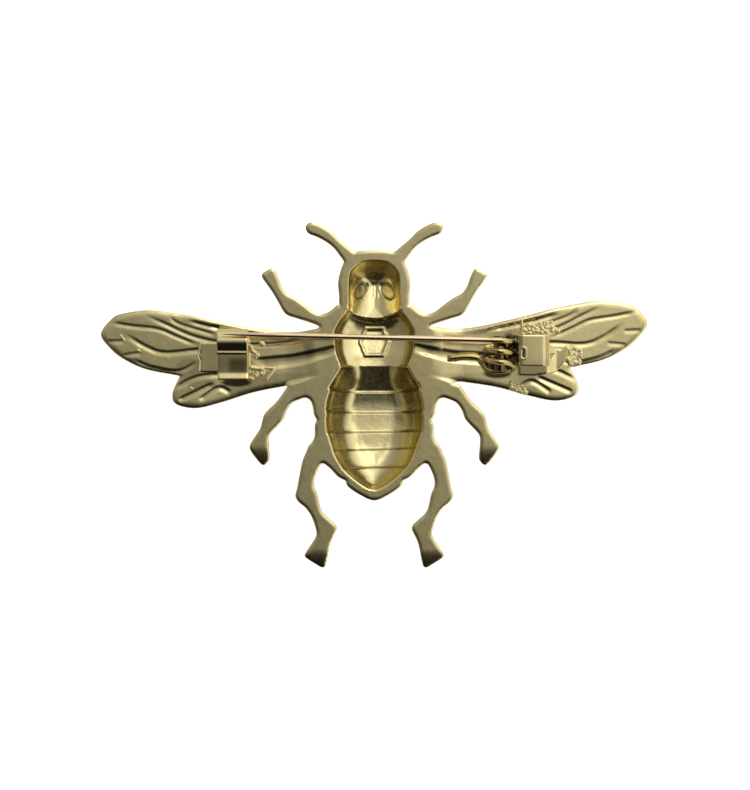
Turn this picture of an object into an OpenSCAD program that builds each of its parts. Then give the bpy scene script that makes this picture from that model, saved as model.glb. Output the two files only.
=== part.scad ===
// Bee brooch, lying face down: X across the wings, Y towards the head, Z up through the open back.
// Lengths are in millimetres. Local Y is 0 at the waist, and local Z is 0 at the lowest front points.

/* [Body] */
// Depth of the casting from its front crest to the back plane of the rim
body_depth = 5.6; // [5:0.1:6.5]
// Wall left between a front dome and the dish behind it
wall = 1; // [0.8:0.1:1.3]
// Thickness of the flat rim round the dishes
rim_t = 1.5; // [1.2:0.1:2]
// Half the width of the abdomen's rim
abdomen_half_w = 7.65; // [7:0.05:8.2]
// Length of the abdomen from the waist to its tip
abdomen_len = 17.2; // [16:0.1:18.5]
// Step between one abdomen band and the next
band_step = 0.28; // [0.15:0.01:0.35]
// Half the width of the thorax dish
thorax_half_w = 5.1; // [4.6:0.1:5.5]
// Length of the thorax from the waist to the neck
thorax_len = 6.25; // [5.8:0.05:6.8]
// Half the width of the head
head_half_w = 4.63; // [4.3:0.05:5]
// Length of the head from the neck to its top
head_len = 8.48; // [8:0.05:9]
// Half the distance between opposite corners of the hexagon on the thorax
hex_r = 2.1; // [1.8:0.05:2.4]
// Width of the hexagon's raised frame
hex_frame_w = 0.42; // [0.3:0.02:0.6]
// Height of the hexagon's raised frame
hex_frame_h = 0.25; // [0.15:0.01:0.35]

/* [Wings] */
// Reach of a wing from the middle line to its tip
wing_reach = 35; // [32:0.5:38]
// Depth of the fore wing from its leading edge to its trailing edge
wing_chord = 8.3; // [7.6:0.1:9]
// Thickness of the wings
wing_t = 1.3; // [1.1:0.1:1.6]
// Distance from the rim's back plane forward to the wings' backs
wing_set = 0.3; // [0.2:0.05:0.5]
// Height of the wings' mid-line above the waist
wing_seat = 3.57; // [3.2:0.05:4]
// Angle by which the wing pair sits turned on the body
wing_turn = 1.2; // [0:0.1:2]
// Height of the veins on the front, and depth of their grooves on the back
vein_h = 0.3; // [0.15:0.05:0.4]

/* [Legs and antennae] */
// Thickness of the legs and antennae
leg_t = 1.5; // [1.2:0.1:1.8]
// Amount by which their sides draw in at the back and front faces
leg_draft = 0.16; // [0.1:0.01:0.22]
// Reach of a fore leg from the middle line
fore_leg_reach = 14.4; // [13.5:0.1:15.5]
// Rise of a fore leg above its joint with the body
fore_leg_rise = 7.46; // [7:0.02:8]
// Height of that joint above the waist
fore_leg_seat = 4.97; // [4.7:0.01:5.2]
// Reach of a middle leg from the middle line
mid_leg_reach = 15.9; // [15:0.1:17]
// Drop of a middle leg below its joint with the body
mid_leg_drop = 10.33; // [9.8:0.01:11]
// Distance of that joint below the waist
mid_leg_seat = 2.42; // [2.2:0.01:2.6]
// Reach of a hind leg from the middle line
hind_leg_reach = 10.1; // [9.6:0.05:10.8]
// Drop of a hind leg below its joint with the body
hind_leg_drop = 15.94; // [15:0.02:17]
// Distance of that joint below the waist
hind_leg_seat = 9.86; // [9.5:0.01:10.2]
// Reach of an antenna from the middle line
antenna_reach = 8.8; // [8.2:0.1:9.4]
// Rise of an antenna above its joint with the head
antenna_rise = 5.1; // [4.7:0.1:5.6]
// Distance of that joint below the top of the head
antenna_seat = 1.47; // [1.3:0.01:1.6]

/* [Pin wire] */
// Diameter of the spring wire
wire_d = 0.7; // [0.6:0.05:0.8]
// Radius of the coil at the wire's centre
coil_r = 1.7; // [1.5:0.05:1.9]
// Advance of the coil in one turn
coil_pitch = 1.38; // [1:0.02:1.44]
// Distance of the coil's middle from the middle line
coil_reach = 15.94; // [15:0.02:17]
// Height of the coil's first turn above the waist
coil_seat = 3.2; // [2.9:0.05:3.5]
// Length of the pin stem from the coil's top to its point
stem_len = 35.5; // [34.8:0.1:36.5]
// Length of the sharpened end
point_len = 5; // [3:0.5:8]
// Angle of the stem to the wings, seen from above
stem_yaw = 1.28; // [0.8:0.02:1.6]
// Largest angle that the stem can be lifted by
lift_max = 40; // [30:1:45]
// Clearance between the wire and what it passes
wire_gap = 0.1; // [0.08:0.01:0.15]

/* [Catch] */
// Width of the catch along the wing
catch_w = 3.95; // [3.4:0.05:4.5]
// Distance of the catch's middle from the middle line
catch_reach = 18; // [17.5:0.1:18.6]
// Outer radius of the rolled hook
catch_r = 1.65; // [1.5:0.05:1.75]
// Thickness of the strip
strip_t = 0.45; // [0.35:0.05:0.55]
// Height of the roll's top edge above the waist
catch_top = 4.69; // [4.5:0.01:4.8]
// Length of the catch's foot
catch_foot = 6.5; // [6:0.1:7]
// Width of the flat pad beside the roll
pad_w = 2.4; // [1.8:0.1:2.8]

/* [Hinge strap] */
// Height of the strap above the wing's back
strap_h = 3.5; // [3.2:0.1:3.8]
// Width of the strap across the wing
strap_w = 5.2; // [4.8:0.1:5.6]
// Length of the raised strap along the wing
strap_len = 4; // [3.6:0.1:4.4]
// Length of the foot that shows past the strap
foot_len = 2.4; // [2:0.1:2.8]
// Radius of the strap's bends
strap_bend = 0.75; // [0.6:0.05:0.9]
// Radius of the stud through the coil
stud_r = 0.8; // [0.7:0.05:0.8]

/* [Hidden] */
gold = "#a89a5e";
wire_gold = "#cdbf9a";
// Points per stretch of an outline and of a vein, and sides of a dish's arc and of the wire
curve_steps = 2;
vein_steps = 2;
arc_sides = 12;
wire_sides = 10;
// Degrees between the coil's rings
coil_step = 15;
// Lap by which cuts and joined shapes pass each other's faces
lap = 0.05;

rim_z = body_depth;
wing_z = rim_z - wing_set;
neck_y = thorax_len;
head_top_y = neck_y + head_len;
top_y = head_top_y - antenna_seat + antenna_rise;
foot_y = -hind_leg_seat - hind_leg_drop;
mid_y = (top_y + foot_y) / 2;

// Shares of the wing's reach and chord, from the root along the leading edge to the tip and back.
// Columns: along the wing, across it from the mid-line, and 1 where the outline has a corner.
fore_wing = [
    [0.09, 0.23, 0], [0.195, 0.169, 0], [0.291, 0.114, 0], [0.387, 0.149, 0],
    [0.544, 0.283, 0], [0.649, 0.389, 0], [0.735, 0.455, 0], [0.827, 0.502, 0],
    [0.913, 0.46, 0], [0.953, 0.395, 0], [0.998, 0.16, 0], [0.973, -0.037, 0],
    [0.922, -0.231, 0], [0.836, -0.409, 0], [0.711, -0.523, 1], [0.545, -0.554, 0],
    [0.364, -0.523, 0], [0.09, -0.44, 0]
];
hind_wing = [
    [0.218, -0.108, 0], [0.5, -0.3, 0], [0.711, -0.523, 1], [0.727, -0.646, 0],
    [0.741, -0.8, 0], [0.73, -0.954, 0], [0.655, -1.026, 0], [0.557, -0.938, 0],
    [0.443, -0.798, 0], [0.311, -0.7, 1], [0.182, -0.708, 0]
];

// Share of a vein's width that its ends keep
vein_end = 0.3;
// Veins of one wing, in the same shares. Columns: width in mm, then the points from root to tip.
veins = [
    [0.7, [[0.4, 0.08], [0.545, 0.185], [0.602, 0.238], [0.693, 0.354]]],
    [0.5, [[0.573, 0.097], [0.624, 0.163], [0.715, 0.294], [0.745, 0.42]]],
    [0.6, [[0.22, 0.03], [0.364, -0.054], [0.51, -0.046], [0.647, 0.069],
        [0.764, 0.292], [0.845, 0.45]]],
    [0.5, [[0.636, -0.06], [0.715, 0.078], [0.787, 0.208], [0.882, 0.265], [0.965, 0.33]]],
    [0.6, [[0.271, -0.185], [0.449, -0.254], [0.633, -0.123], [0.76, -0.155],
        [0.831, -0.058], [0.916, 0.169]]],
    [0.4, [[0.847, -0.146], [0.92, -0.182]]],
    [0.4, [[0.909, 0.034], [0.975, 0.038]]],
    [0.5, [[0.645, -0.297], [0.715, -0.44], [0.813, -0.374], [0.885, -0.24]]],
    [0.6, [[0.587, -0.638], [0.64, -0.738], [0.724, -0.9]]],
    [0.5, [[0.522, -0.8], [0.573, -0.71], [0.645, -0.9]]],
    [0.5, [[0.53, -0.5], [0.638, -0.528], [0.707, -0.645], [0.733, -0.742]]]
];

// Shares of each leg's reach, and of its rise or drop from the joint. The last column marks corners.
fore_leg = [
    [0.265, 0.2, 0], [0.319, 0.393, 1], [0.398, 0.265, 0], [0.46, 0.222, 0],
    [0.531, 0.256, 0], [0.619, 0.385, 0], [0.699, 0.494, 0], [0.775, 0.574, 0],
    [0.82, 0.691, 0], [0.85, 0.855, 0], [0.896, 1, 0], [0.973, 0.94, 0],
    [1, 0.863, 0], [0.912, 0.615, 0], [0.854, 0.427, 0], [0.81, 0.274, 0],
    [0.77, 0.197, 0], [0.673, 0.137, 0], [0.549, 0.06, 0], [0.475, 0, 1],
    [0.3, -0.06, 0]
];
mid_leg = [
    [0.36, -0.1, 0], [0.687, 0, 1], [0.779, 0.2, 0], [0.843, 0.296, 0],
    [0.884, 0.364, 0], [0.897, 0.426, 0], [0.916, 0.538, 0], [0.964, 0.652, 0],
    [1, 0.744, 0], [0.996, 0.811, 0], [0.936, 0.938, 0], [0.892, 0.998, 0],
    [0.85, 0.95, 0], [0.839, 0.886, 0], [0.849, 0.662, 0], [0.822, 0.58, 0],
    [0.769, 0.496, 0], [0.725, 0.414, 0], [0.707, 0.327, 0], [0.659, 0.222, 0],
    [0.594, 0.177, 0], [0.546, 0.158, 0], [0.506, 0.21, 0], [0.48, 0.3, 0],
    [0.4, 0.2, 0]
];
hind_leg = [
    [0.6, -0.03, 0], [0.798, 0, 0], [0.865, 0.076, 0], [0.915, 0.159, 0],
    [0.975, 0.354, 0], [1, 0.423, 0], [0.96, 0.472, 0], [0.869, 0.519, 0],
    [0.789, 0.596, 0], [0.744, 0.679, 0], [0.732, 0.734, 0], [0.783, 0.794, 0],
    [0.884, 0.894, 0], [0.859, 0.922, 0], [0.727, 0.975, 0], [0.657, 0.999, 0],
    [0.61, 0.978, 0], [0.564, 0.832, 0], [0.527, 0.762, 0], [0.476, 0.698, 0],
    [0.48, 0.657, 0], [0.568, 0.606, 0], [0.667, 0.538, 0], [0.72, 0.402, 0],
    [0.758, 0.35, 0], [0.758, 0.29, 0], [0.72, 0.222, 0], [0.669, 0.166, 0],
    [0.606, 0.156, 0], [0.559, 0.175, 0], [0.48, 0.08, 0]
];
antenna = [
    [0.203, 0.05, 0], [0.29, 0.245, 1], [0.377, 0.375, 0], [0.507, 0.563, 0],
    [0.623, 0.763, 0], [0.765, 0.918, 0], [0.891, 0.993, 0], [0.978, 0.955, 0],
    [0.999, 0.843, 0], [0.962, 0.713, 0], [0.843, 0.633, 0], [0.707, 0.508, 0],
    [0.591, 0.35, 0], [0.5, 0.15, 0], [0.435, 0, 1], [0.3, -0.1, 0]
];

// Half outlines of the flat rim. Columns: share of the half width, share of the length, corner.
abdomen_rim = [
    [0.6, -0.12, 0], [0.833, 0.044, 0], [1, 0.237, 0], [1.017, 0.322, 0],
    [1, 0.37, 0], [0.95, 0.402, 1], [0.992, 0.436, 0], [0.992, 0.519, 0],
    [1.033, 0.585, 0], [0.9, 0.696, 0], [0.733, 0.763, 0], [0.608, 0.822, 0],
    [0.47, 0.854, 1], [0.45, 0.893, 0], [0.242, 0.957, 0], [0, 1, 0]
];
thorax_rim = [
    [1.3, -0.15, 0], [1.45, 0.2, 0], [1.5, 0.6, 0], [1.3, 0.86, 0], [0.9, 1.12, 0]
];
head_rim = [
    [0.8, -0.06, 0], [0.964, 0.195, 0], [0.972, 0.316, 0], [1, 0.511, 0],
    [0.937, 0.687, 0], [0.826, 0.827, 0], [0.551, 0.974, 0], [0, 1, 0]
];

// Sections of each dish along the body, as shares of the half width, length and dish depth.
// Columns: along from the waist or neck, half width, depth.
abdomen_dish = [
    [-0.03, 0.5, 0.42], [0.05, 0.61, 0.55], [0.148, 0.745, 0.86], [0.252, 0.792, 0.97],
    [0.4, 0.807, 1], [0.496, 0.783, 0.99], [0.596, 0.708, 0.94], [0.674, 0.65, 0.86],
    [0.756, 0.538, 0.72], [0.833, 0.35, 0.5], [0.897, 0.15, 0.28], [0.925, 0.03, 0.1]
];
thorax_dish = [
    [-0.04, 0.86, 0.5], [0.08, 0.88, 0.84], [0.3, 0.98, 0.94], [0.6, 1, 0.95],
    [0.78, 0.97, 0.92], [0.95, 0.85, 0.8], [1.08, 0.68, 0.5], [1.14, 0.5, 0.35]
];
head_dish = [
    [-0.04, 0.4, 0.3], [0.02, 0.58, 0.55], [0.1, 0.69, 0.76], [0.25, 0.72, 0.86],
    [0.45, 0.72, 0.87], [0.62, 0.68, 0.84], [0.74, 0.58, 0.7], [0.82, 0.42, 0.45],
    [0.86, 0.2, 0.2]
];
// Lines between the abdomen's bands, as shares of its length, and sections to each band
band_lines = [0.184, 0.344, 0.489, 0.62, 0.755];
band_parts = 3;
// Run of a step as a share of the length, its part in the half width, and the least section size
step_run = 0.004;
step_side = 0.6;
tip_size = 0.1;
// Share of the wall that a dome has past the ends of its dish
end_wall = 0.6;

// Fullness of each dish across the body: a lower power gives a flatter floor and steeper sides
abdomen_full = 0.62;
thorax_full = 0.6;
head_full = 0.7;
side_full = 0.8;
// Dishes are cut from above the rim, and domes start below it
cut_above = 0.5;
dome_below = -0.2;

dish_depth = body_depth - wall;
// Place of the eyes as shares of the head, their lean in degrees, and their narrowness and flatness
eye_side = 0.34;
eye_up = 0.42;
eye_lean = 18;
eye_narrow = 0.62;
eye_flat = 0.5;
// Floors of the dishes under the eyes and under the hexagon
head_floor = rim_z - at(head_dish, eye_up, 2) * dish_depth;
thorax_floor = rim_z - at(thorax_dish, 0.5, 2) * dish_depth;
// Length of the eyes' halves on the front and in the dish, and the front eyes' place in the wall
eye_front_r = 1.5;
eye_back_r = 1.1;
eye_wall_share = 0.6;
// Margin of the hexagonal boss on the front, and depth by which the frame reaches into the floor
hex_boss_edge = 0.6;
hex_root = 0.3;

// Catmull-Rom curve through closed rows of [x, y, corner], straight out of a corner.
function bend(a, b, c, d, t) =
    (2 * b + (c - a) * t + (2 * a - 5 * b + 4 * c - d) * t * t + (3 * b - a - 3 * c + d) * t * t * t) / 2;
function xy(row) = [row[0], row[1]];
function closed_curve(rows) = let (n = len(rows)) [
    for (i = [0 : n - 1])
        let (
            b = rows[i],
            c = rows[(i + 1) % n],
            a = b[2] == 1 ? 2 * b - c : rows[(i + n - 1) % n],
            d = c[2] == 1 ? 2 * c - b : rows[(i + 2) % n]
        )
        for (s = [0 : curve_steps - 1]) bend(xy(a), xy(b), xy(c), xy(d), s / curve_steps)
];
function open_curve(points, steps) = let (n = len(points)) concat([
    for (i = [0 : n - 2])
        let (
            b = points[i],
            c = points[i + 1],
            a = i == 0 ? 2 * b - c : points[i - 1],
            d = i == n - 2 ? 2 * c - b : points[i + 2]
        )
        for (s = [0 : steps - 1]) bend(a, b, c, d, s / steps)
], [points[n - 1]]);
function scaled(rows, x_size, y_size) = [for (r = rows) [r[0] * x_size, r[1] * y_size, r[2]]];
function both_sides(rows) = concat(rows, [
    for (i = [len(rows) - 1 : -1 : 0]) if (rows[i][0] > 0) [-rows[i][0], rows[i][1], rows[i][2]]
]);
function unit(v) = v / max(norm(v), 1e-9);
function turns_left(p) =
    let (n = len(p)) sum([for (i = [0 : n - 1]) cross(p[i], p[(i + 1) % n])]) > 0;
function sum(v, i = 0) = i < len(v) ? v[i] + sum(v, i + 1) : 0;
function inset(p, by) = let (n = len(p), side = turns_left(p) ? 1 : -1) [
    for (i = [0 : n - 1])
        let (along = unit(p[(i + 1) % n] - p[(i + n - 1) % n]))
        p[i] + side * by * [-along[1], along[0]]
];
// Value of a column of a section table at a share, by straight lines between its rows
function at(table, share, column) = lookup(share, [for (r = table) [r[0], r[column]]]);

// Faces that skin a stack of rings with the same number of points, with both ends closed
function skin_faces(rings, count) = concat(
    [[for (j = [count - 1 : -1 : 0]) j]],
    [for (i = [0 : rings - 2]) for (j = [0 : count - 1])
        let (k = (j + 1) % count)
        [i * count + j, i * count + k, (i + 1) * count + k]],
    [for (i = [0 : rings - 2]) for (j = [0 : count - 1])
        let (k = (j + 1) % count)
        [i * count + j, (i + 1) * count + k, (i + 1) * count + j]],
    [[for (j = [0 : count - 1]) (rings - 1) * count + j]]
);
module skin(rings) {
    points = [for (ring = rings) for (p = ring) p];
    polyhedron(points, skin_faces(len(rings), len(rings[0])), convexity = 8);
}

// Flat cast plate: full outline at mid-depth, drawn in towards the back and more towards the front
module plate(rows, back_z, thick) {
    // Columns: share of the thickness below the back face, and share of the draft
    levels = [[0, 1], [0.45, 0], [1, 1.7]];
    flat = closed_curve(rows);
    outline = turns_left(flat) ? flat : [for (i = [len(flat) - 1 : -1 : 0]) flat[i]];
    skin([
        for (l = levels)
            [for (p = inset(outline, l[1] * leg_draft)) [p[0], p[1], back_z - l[0] * thick]]
    ]);
}

// Ring across the body at one place along it: a flat top, and an arc down to a rounded floor.
// The row holds the place, half the width at the back plane, and the depth below that plane.
function arc_ring(row, lift, fullness) = [
    for (i = [0 : arc_sides])
        let (
            a = 180 * i / arc_sides,
            c = cos(a),
            ends = i == 0 || i == arc_sides,
            down = row[2] * pow(sin(a), fullness)
        )
        [sign(c) * row[1] * pow(abs(c), side_full), row[0], rim_z + (ends ? lift : min(lift, -down))]
];
module trough(rows, lift, fullness) {
    up = rows[0][0] < rows[len(rows) - 1][0];
    ordered = up ? [for (i = [len(rows) - 1 : -1 : 0]) rows[i]] : rows;
    skin([for (r = ordered) arc_ring(r, lift, fullness)]);
}

// Sections of a dish grown by the wall, for the dome round it
function grown(rows, by) = let (last = len(rows) - 1, away = sign(rows[0][0] - rows[last][0])) [
    for (i = [0 : last])
        let (end = i == 0 ? away : i == last ? -away : 0)
        [rows[i][0] + end * by * end_wall, rows[i][1] + by, rows[i][2] + by]
];
function body_rows(table, origin, length, half_w) =
    [for (r = table) [origin + r[0] * length, r[1] * half_w, r[2] * dish_depth]];
function thorax_rows() = body_rows(thorax_dish, 0, thorax_len, thorax_half_w);
function head_rows() = body_rows(head_dish, neck_y, head_len, head_half_w);
// Abdomen sections between the band lines, each band rising to a step at its hinder edge
band_ends = concat([abdomen_dish[0][0]], band_lines, [abdomen_dish[len(abdomen_dish) - 1][0]]);
function abdomen_rows() = [
    for (b = [0 : len(band_ends) - 2]) for (s = [0 : band_parts])
        let (
            near = band_ends[b] + (s == 0 && b > 0 ? step_run : 0),
            share = near + (band_ends[b + 1] - near) * s / band_parts,
            last = b == len(band_ends) - 2,
            step = band_step * (last ? -0.5 : s / band_parts - 0.5)
        )
        [-share * abdomen_len,
            max(at(abdomen_dish, share, 1) * abdomen_half_w + step * step_side, tip_size),
            max(at(abdomen_dish, share, 2) * (dish_depth - band_step / 2) + step, tip_size)]
];

module limbs() {
    plate(fore_leg_rows(), rim_z, leg_t);
    plate(mid_leg_rows(), rim_z, leg_t);
    plate(hind_leg_rows(), rim_z, leg_t);
    plate(antenna_rows(), rim_z, leg_t);
}
function fore_leg_rows() =
    [for (r = fore_leg) [r[0] * fore_leg_reach, fore_leg_seat + r[1] * fore_leg_rise, r[2]]];
function mid_leg_rows() =
    [for (r = mid_leg) [r[0] * mid_leg_reach, -mid_leg_seat - r[1] * mid_leg_drop, r[2]]];
function hind_leg_rows() =
    [for (r = hind_leg) [r[0] * hind_leg_reach, -hind_leg_seat - r[1] * hind_leg_drop, r[2]]];
function antenna_rows() =
    [for (r = antenna) [r[0] * antenna_reach, head_top_y - antenna_seat + r[1] * antenna_rise, r[2]]];

// Long ridge with a three-cornered section along a curve, narrowed at both ends
module ridge(points, width, height) {
    path = open_curve(points, vein_steps);
    n = len(path);
    skin([
        for (i = [0 : n - 1])
            let (
                along = unit(path[min(i + 1, n - 1)] - path[max(i - 1, 0)]),
                side = [-along[1], along[0]] * width / 2 * (i == 0 || i == n - 1 ? vein_end : 1),
                p = path[i]
            )
            [
                [p[0] - side[0], p[1] - side[1], 0],
                [p[0], p[1], height],
                [p[0] + side[0], p[1] + side[1], 0]
            ]
    ]);
}
module wing_veins() {
    for (v = veins) ridge([for (p = v[1]) [p[0] * wing_reach, p[1] * wing_chord]], v[0], vein_h + lap);
}
module wing() {
    difference() {
        union() {
            plate(scaled(fore_wing, wing_reach, wing_chord), wing_z, wing_t);
            plate(scaled(hind_wing, wing_reach, wing_chord), wing_z, wing_t);
            translate([0, 0, wing_z - wing_t + lap]) mirror([0, 0, 1]) wing_veins();
        }
        translate([0, 0, wing_z + lap]) mirror([0, 0, 1]) wing_veins();
    }
}
module wing_pair() {
    translate([0, wing_seat]) rotate(wing_turn) {
        wing();
        mirror([1, 0, 0]) wing();
    }
}

module rims() {
    abdomen_half = [for (r = abdomen_rim) [r[0] * abdomen_half_w, -r[1] * abdomen_len, r[2]]];
    thorax_half = [for (r = thorax_rim) [r[0] * thorax_half_w, r[1] * thorax_len, r[2]]];
    head_half = [for (r = head_rim) [r[0] * head_half_w, neck_y + r[1] * head_len, r[2]]];
    plate(both_sides(abdomen_half), rim_z, rim_t);
    plate(both_sides(thorax_half), rim_z, rim_t);
    plate(both_sides(head_half), rim_z, rim_t);
}

module domes() {
    trough(grown(abdomen_rows(), wall), dome_below, abdomen_full);
    trough(grown(thorax_rows(), wall), dome_below, thorax_full);
    trough(grown(head_rows(), wall), dome_below, head_full);
    // Flat hexagon on the thorax front, on which the brooch lies
    translate([0, thorax_len / 2]) cylinder(r = hex_r + hex_boss_edge, h = rim_z / 2, $fn = 6);
}
module eye_pair(r, z) {
    for (side = [-1, 1])
        translate([side * eye_side * head_half_w, neck_y + eye_up * head_len, z])
            rotate(-side * eye_lean) scale([eye_narrow, 1, eye_flat]) sphere(r, $fn = 12);
}
module dishes() {
    trough(abdomen_rows(), cut_above, abdomen_full);
    trough(thorax_rows(), cut_above, thorax_full);
    trough(head_rows(), cut_above, head_full);
}
module hexagon_frame() {
    translate([0, thorax_len / 2, thorax_floor - hex_root]) difference() {
        cylinder(r = hex_r, h = hex_frame_h + hex_root, $fn = 6);
        translate([0, 0, hex_root]) cylinder(r = hex_r - hex_frame_w, h = hex_frame_h * 2, $fn = 6);
    }
}

// Depth by which the soldered feet reach into the wing, past its vein grooves
foot_sink = vein_h + 0.1;
// Distance by which the faces of joined blocks stand apart
face_step = 0.1;
// Angle that the catch's roll turns through, and the steps of its curve
roll_sweep = 265;
roll_steps = 14;
// Catch pad as shares of the foot's length and the strip's thickness, its seat and its lap
pad_len_share = 0.6;
pad_t_share = 0.85;
pad_seat = 0.6;
pad_lap = 0.5;

// Rolled catch in the Y-Z plane: flat foot, then a strip rolled back over itself
module catch() {
    foot_end = catch_top - catch_foot;
    roll_mid = [catch_top - catch_r, catch_r];
    function roll(r, i) =
        let (turn = roll_sweep * i / roll_steps - 90) roll_mid + r * [cos(turn), sin(turn)];
    outer = [for (i = [0 : roll_steps]) roll(catch_r, i)];
    inner = [for (i = [roll_steps : -1 : 0]) roll(catch_r - strip_t, i)];
    translate([-catch_reach - catch_w / 2, 0, wing_z]) {
        rotate([90, 0, 90]) linear_extrude(catch_w)
            polygon(concat([[foot_end, 0]], outer, inner, [[foot_end, strip_t]]));
        translate([face_step, foot_end + face_step, -foot_sink])
            cube([catch_w - 2 * face_step, catch_foot - catch_r - 3 * face_step, strip_t / 2 + foot_sink]);
        translate([-pad_w, foot_end + pad_seat, -foot_sink])
            cube([pad_w + pad_lap, catch_foot * pad_len_share, strip_t * pad_t_share + foot_sink]);
    }
}

// Place of the strap, and of the coil's axis above the wing
strap_rise = 0.75;
strap_x = coil_reach + coil_r + wire_d / 2 + wire_gap * 2;
strap_y = coil_seat + strap_rise - strap_w;
coil_z = wing_z + coil_r + wire_d / 2 + wire_gap;
stud_end = coil_seat + wire_d;
// Slit in the strap: its width in mm, and its start and length as shares of the strap's width
slit_w = 0.3;
slit_from = 0.38;
slit_share = 0.32;
// Outline of the strap's foot. Columns: share of its length, share of the strap's width.
strap_foot = [[0, 0.02], [0.69, 0.12], [1, 0.45], [1, 0.75], [0.62, 0.95], [0, 0.97]];
foot_t_share = 0.9;
foot_shift = 0.06;

// Strap with two rounded bends on a flat foot, a slit by its left end, and the stud through the coil
module strap() {
    bend_z = strap_h - strap_bend;
    near = [strap_bend, bend_z];
    far = [strap_len - strap_bend, bend_z];
    inner_r = strap_bend - strip_t;
    function arc(c, r, a0, a1) =
        [for (i = [0 : 6]) let (a = a0 + (a1 - a0) * i / 6) c + r * [cos(a), sin(a)]];
    profile = concat(
        [[0, 0]], arc(near, strap_bend, 180, 90), arc(far, strap_bend, 90, 0), [[strap_len, 0]],
        [[strap_len - strip_t, 0]], arc(far, inner_r, 0, 90), arc(near, inner_r, 90, 180), [[strip_t, 0]]
    );
    translate([strap_x, strap_y, wing_z]) {
        difference() {
            translate([0, strap_w, 0]) rotate([90, 0, 0]) linear_extrude(strap_w) polygon(profile);
            translate([strap_bend, strap_w * slit_from, strap_h / 2])
                cube([slit_w, strap_w * slit_share, strap_h]);
        }
        translate([foot_shift, 0, -foot_sink]) linear_extrude(strip_t * foot_t_share + foot_sink)
            polygon([for (p = strap_foot) [p[0] * (strap_len + foot_len), p[1] * strap_w]]);
    }
    translate([coil_reach, strap_y, coil_z]) rotate([90, 0, 180]) {
        cylinder(r = stud_r, h = stud_end - strap_y, $fn = 24);
        hull() {
            cylinder(r = stud_r, h = strip_t, $fn = 24);
            translate([coil_reach - strap_x - face_step, 0, 0])
                cylinder(r = stud_r, h = strip_t, $fn = 24);
        }
    }
}

// Solder lumps round the catch and round the strap, from the middle of the roll's top edge and from
// the strap's corner nearest the head. Columns: along X, along Y, length, height.
catch_solder = [
    [2.1, -1.8, 0.9, 0.35], [2.3, -2.8, 0.7, 0.3], [2.7, -5, 1.4, 0.35],
    [3.8, -5.4, 1.5, 0.3], [-2.3, -6.1, 1.2, 0.3]
];
strap_solder = [
    [6.2, -1.7, 0.9, 0.35], [6.4, -3.1, 0.8, 0.35], [1.4, 0.6, 1.6, 0.4],
    [-0.6, 0.5, 1.2, 0.35], [0.4, -6.1, 1.8, 0.35]
];
lump_narrow = 0.8;
module lumps(rows, corner) {
    for (s = rows) translate([corner[0] + s[0], corner[1] + s[1], wing_z]) hull() {
        translate([-s[2] / 2, 0, 0]) sphere(s[3], $fn = 8);
        translate([s[2] / 2, 0, 0]) sphere(s[3] * lump_narrow, $fn = 8);
    }
}
module solder_lumps() {
    lumps(catch_solder, [-catch_reach, catch_top]);
    lumps(strap_solder, [strap_x, strap_y + strap_w]);
}

module bee_body() {
    color(gold) translate([0, -mid_y, 0]) {
        difference() {
            union() {
                rims();
                limbs();
                mirror([1, 0, 0]) limbs();
                domes();
                wing_pair();
                eye_pair(eye_front_r, head_floor - wall * eye_wall_share);
            }
            dishes();
            eye_pair(eye_back_r, head_floor);
        }
        hexagon_frame();
        catch();
        strap();
        solder_lumps();
    }
}

// Wire tube through points, with a ring of sides at each
module wire(path, r) {
    n = len(path);
    skin([
        for (i = [0 : n - 1])
            let (
                along = unit(path[min(i + 1, n - 1)] - path[max(i - 1, 0)]),
                side = unit(cross(along, [0, 1, 0])),
                up = cross(side, along)
            )
            [for (j = [0 : wire_sides - 1])
                let (a = 360 * j / wire_sides) path[i] + r * (cos(a) * side + sin(a) * up)]
    ]);
}
// Point on the coil: 0 is at its top, where the stem leaves, and the turn runs away from the stem
function coil_point(a) =
    [coil_reach + coil_r * sin(a), coil_seat - coil_pitch * a / 360, coil_z + coil_r * cos(a)];
stem_top = coil_point(0);
// The stem runs over the catch's roll, so its drop follows from the roll's height
over_catch = (coil_reach + catch_reach) / cos(stem_yaw);
stem_y_there = coil_seat + over_catch * sin(stem_yaw);
roll_clear = catch_r + wire_d / 2 + wire_gap;
roll_offset = stem_y_there - (catch_top - catch_r);
stem_z_there = wing_z + catch_r + sqrt(pow(roll_clear, 2) - pow(roll_offset, 2));
stem_drop = atan2(stem_top[2] - stem_z_there, over_catch);
stem_dir = [-cos(stem_yaw) * cos(stem_drop), sin(stem_yaw) * cos(stem_drop), -sin(stem_drop)];
// Radius at the point, the stem's lap over the first turn, and how much thinner the turn is there
point_r = 0.06;
stem_lap = 0.5;
turn_thin = 0.98;
// The first turn ends at this angle on the stem, and the coil starts past the travel
split_angle = 135;
split_spare = 10;
coil_end = 915;

module pin_stem() {
    straight = stem_len - point_len;
    color(wire_gold) translate([0, -mid_y, 0]) {
        translate(stem_top) rotate([0, acos(stem_dir[2]), atan2(stem_dir[1], stem_dir[0])]) {
            cylinder(r = wire_d / 2, h = straight, $fn = 32);
            translate([0, 0, straight]) cylinder(r1 = wire_d / 2, r2 = point_r, h = point_len, $fn = 32);
        }
        wire(
            concat([stem_top + stem_dir * stem_lap], [for (a = [0 : coil_step : split_angle]) coil_point(a)]),
            wire_d / 2 * turn_thin
        );
    }
}

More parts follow.
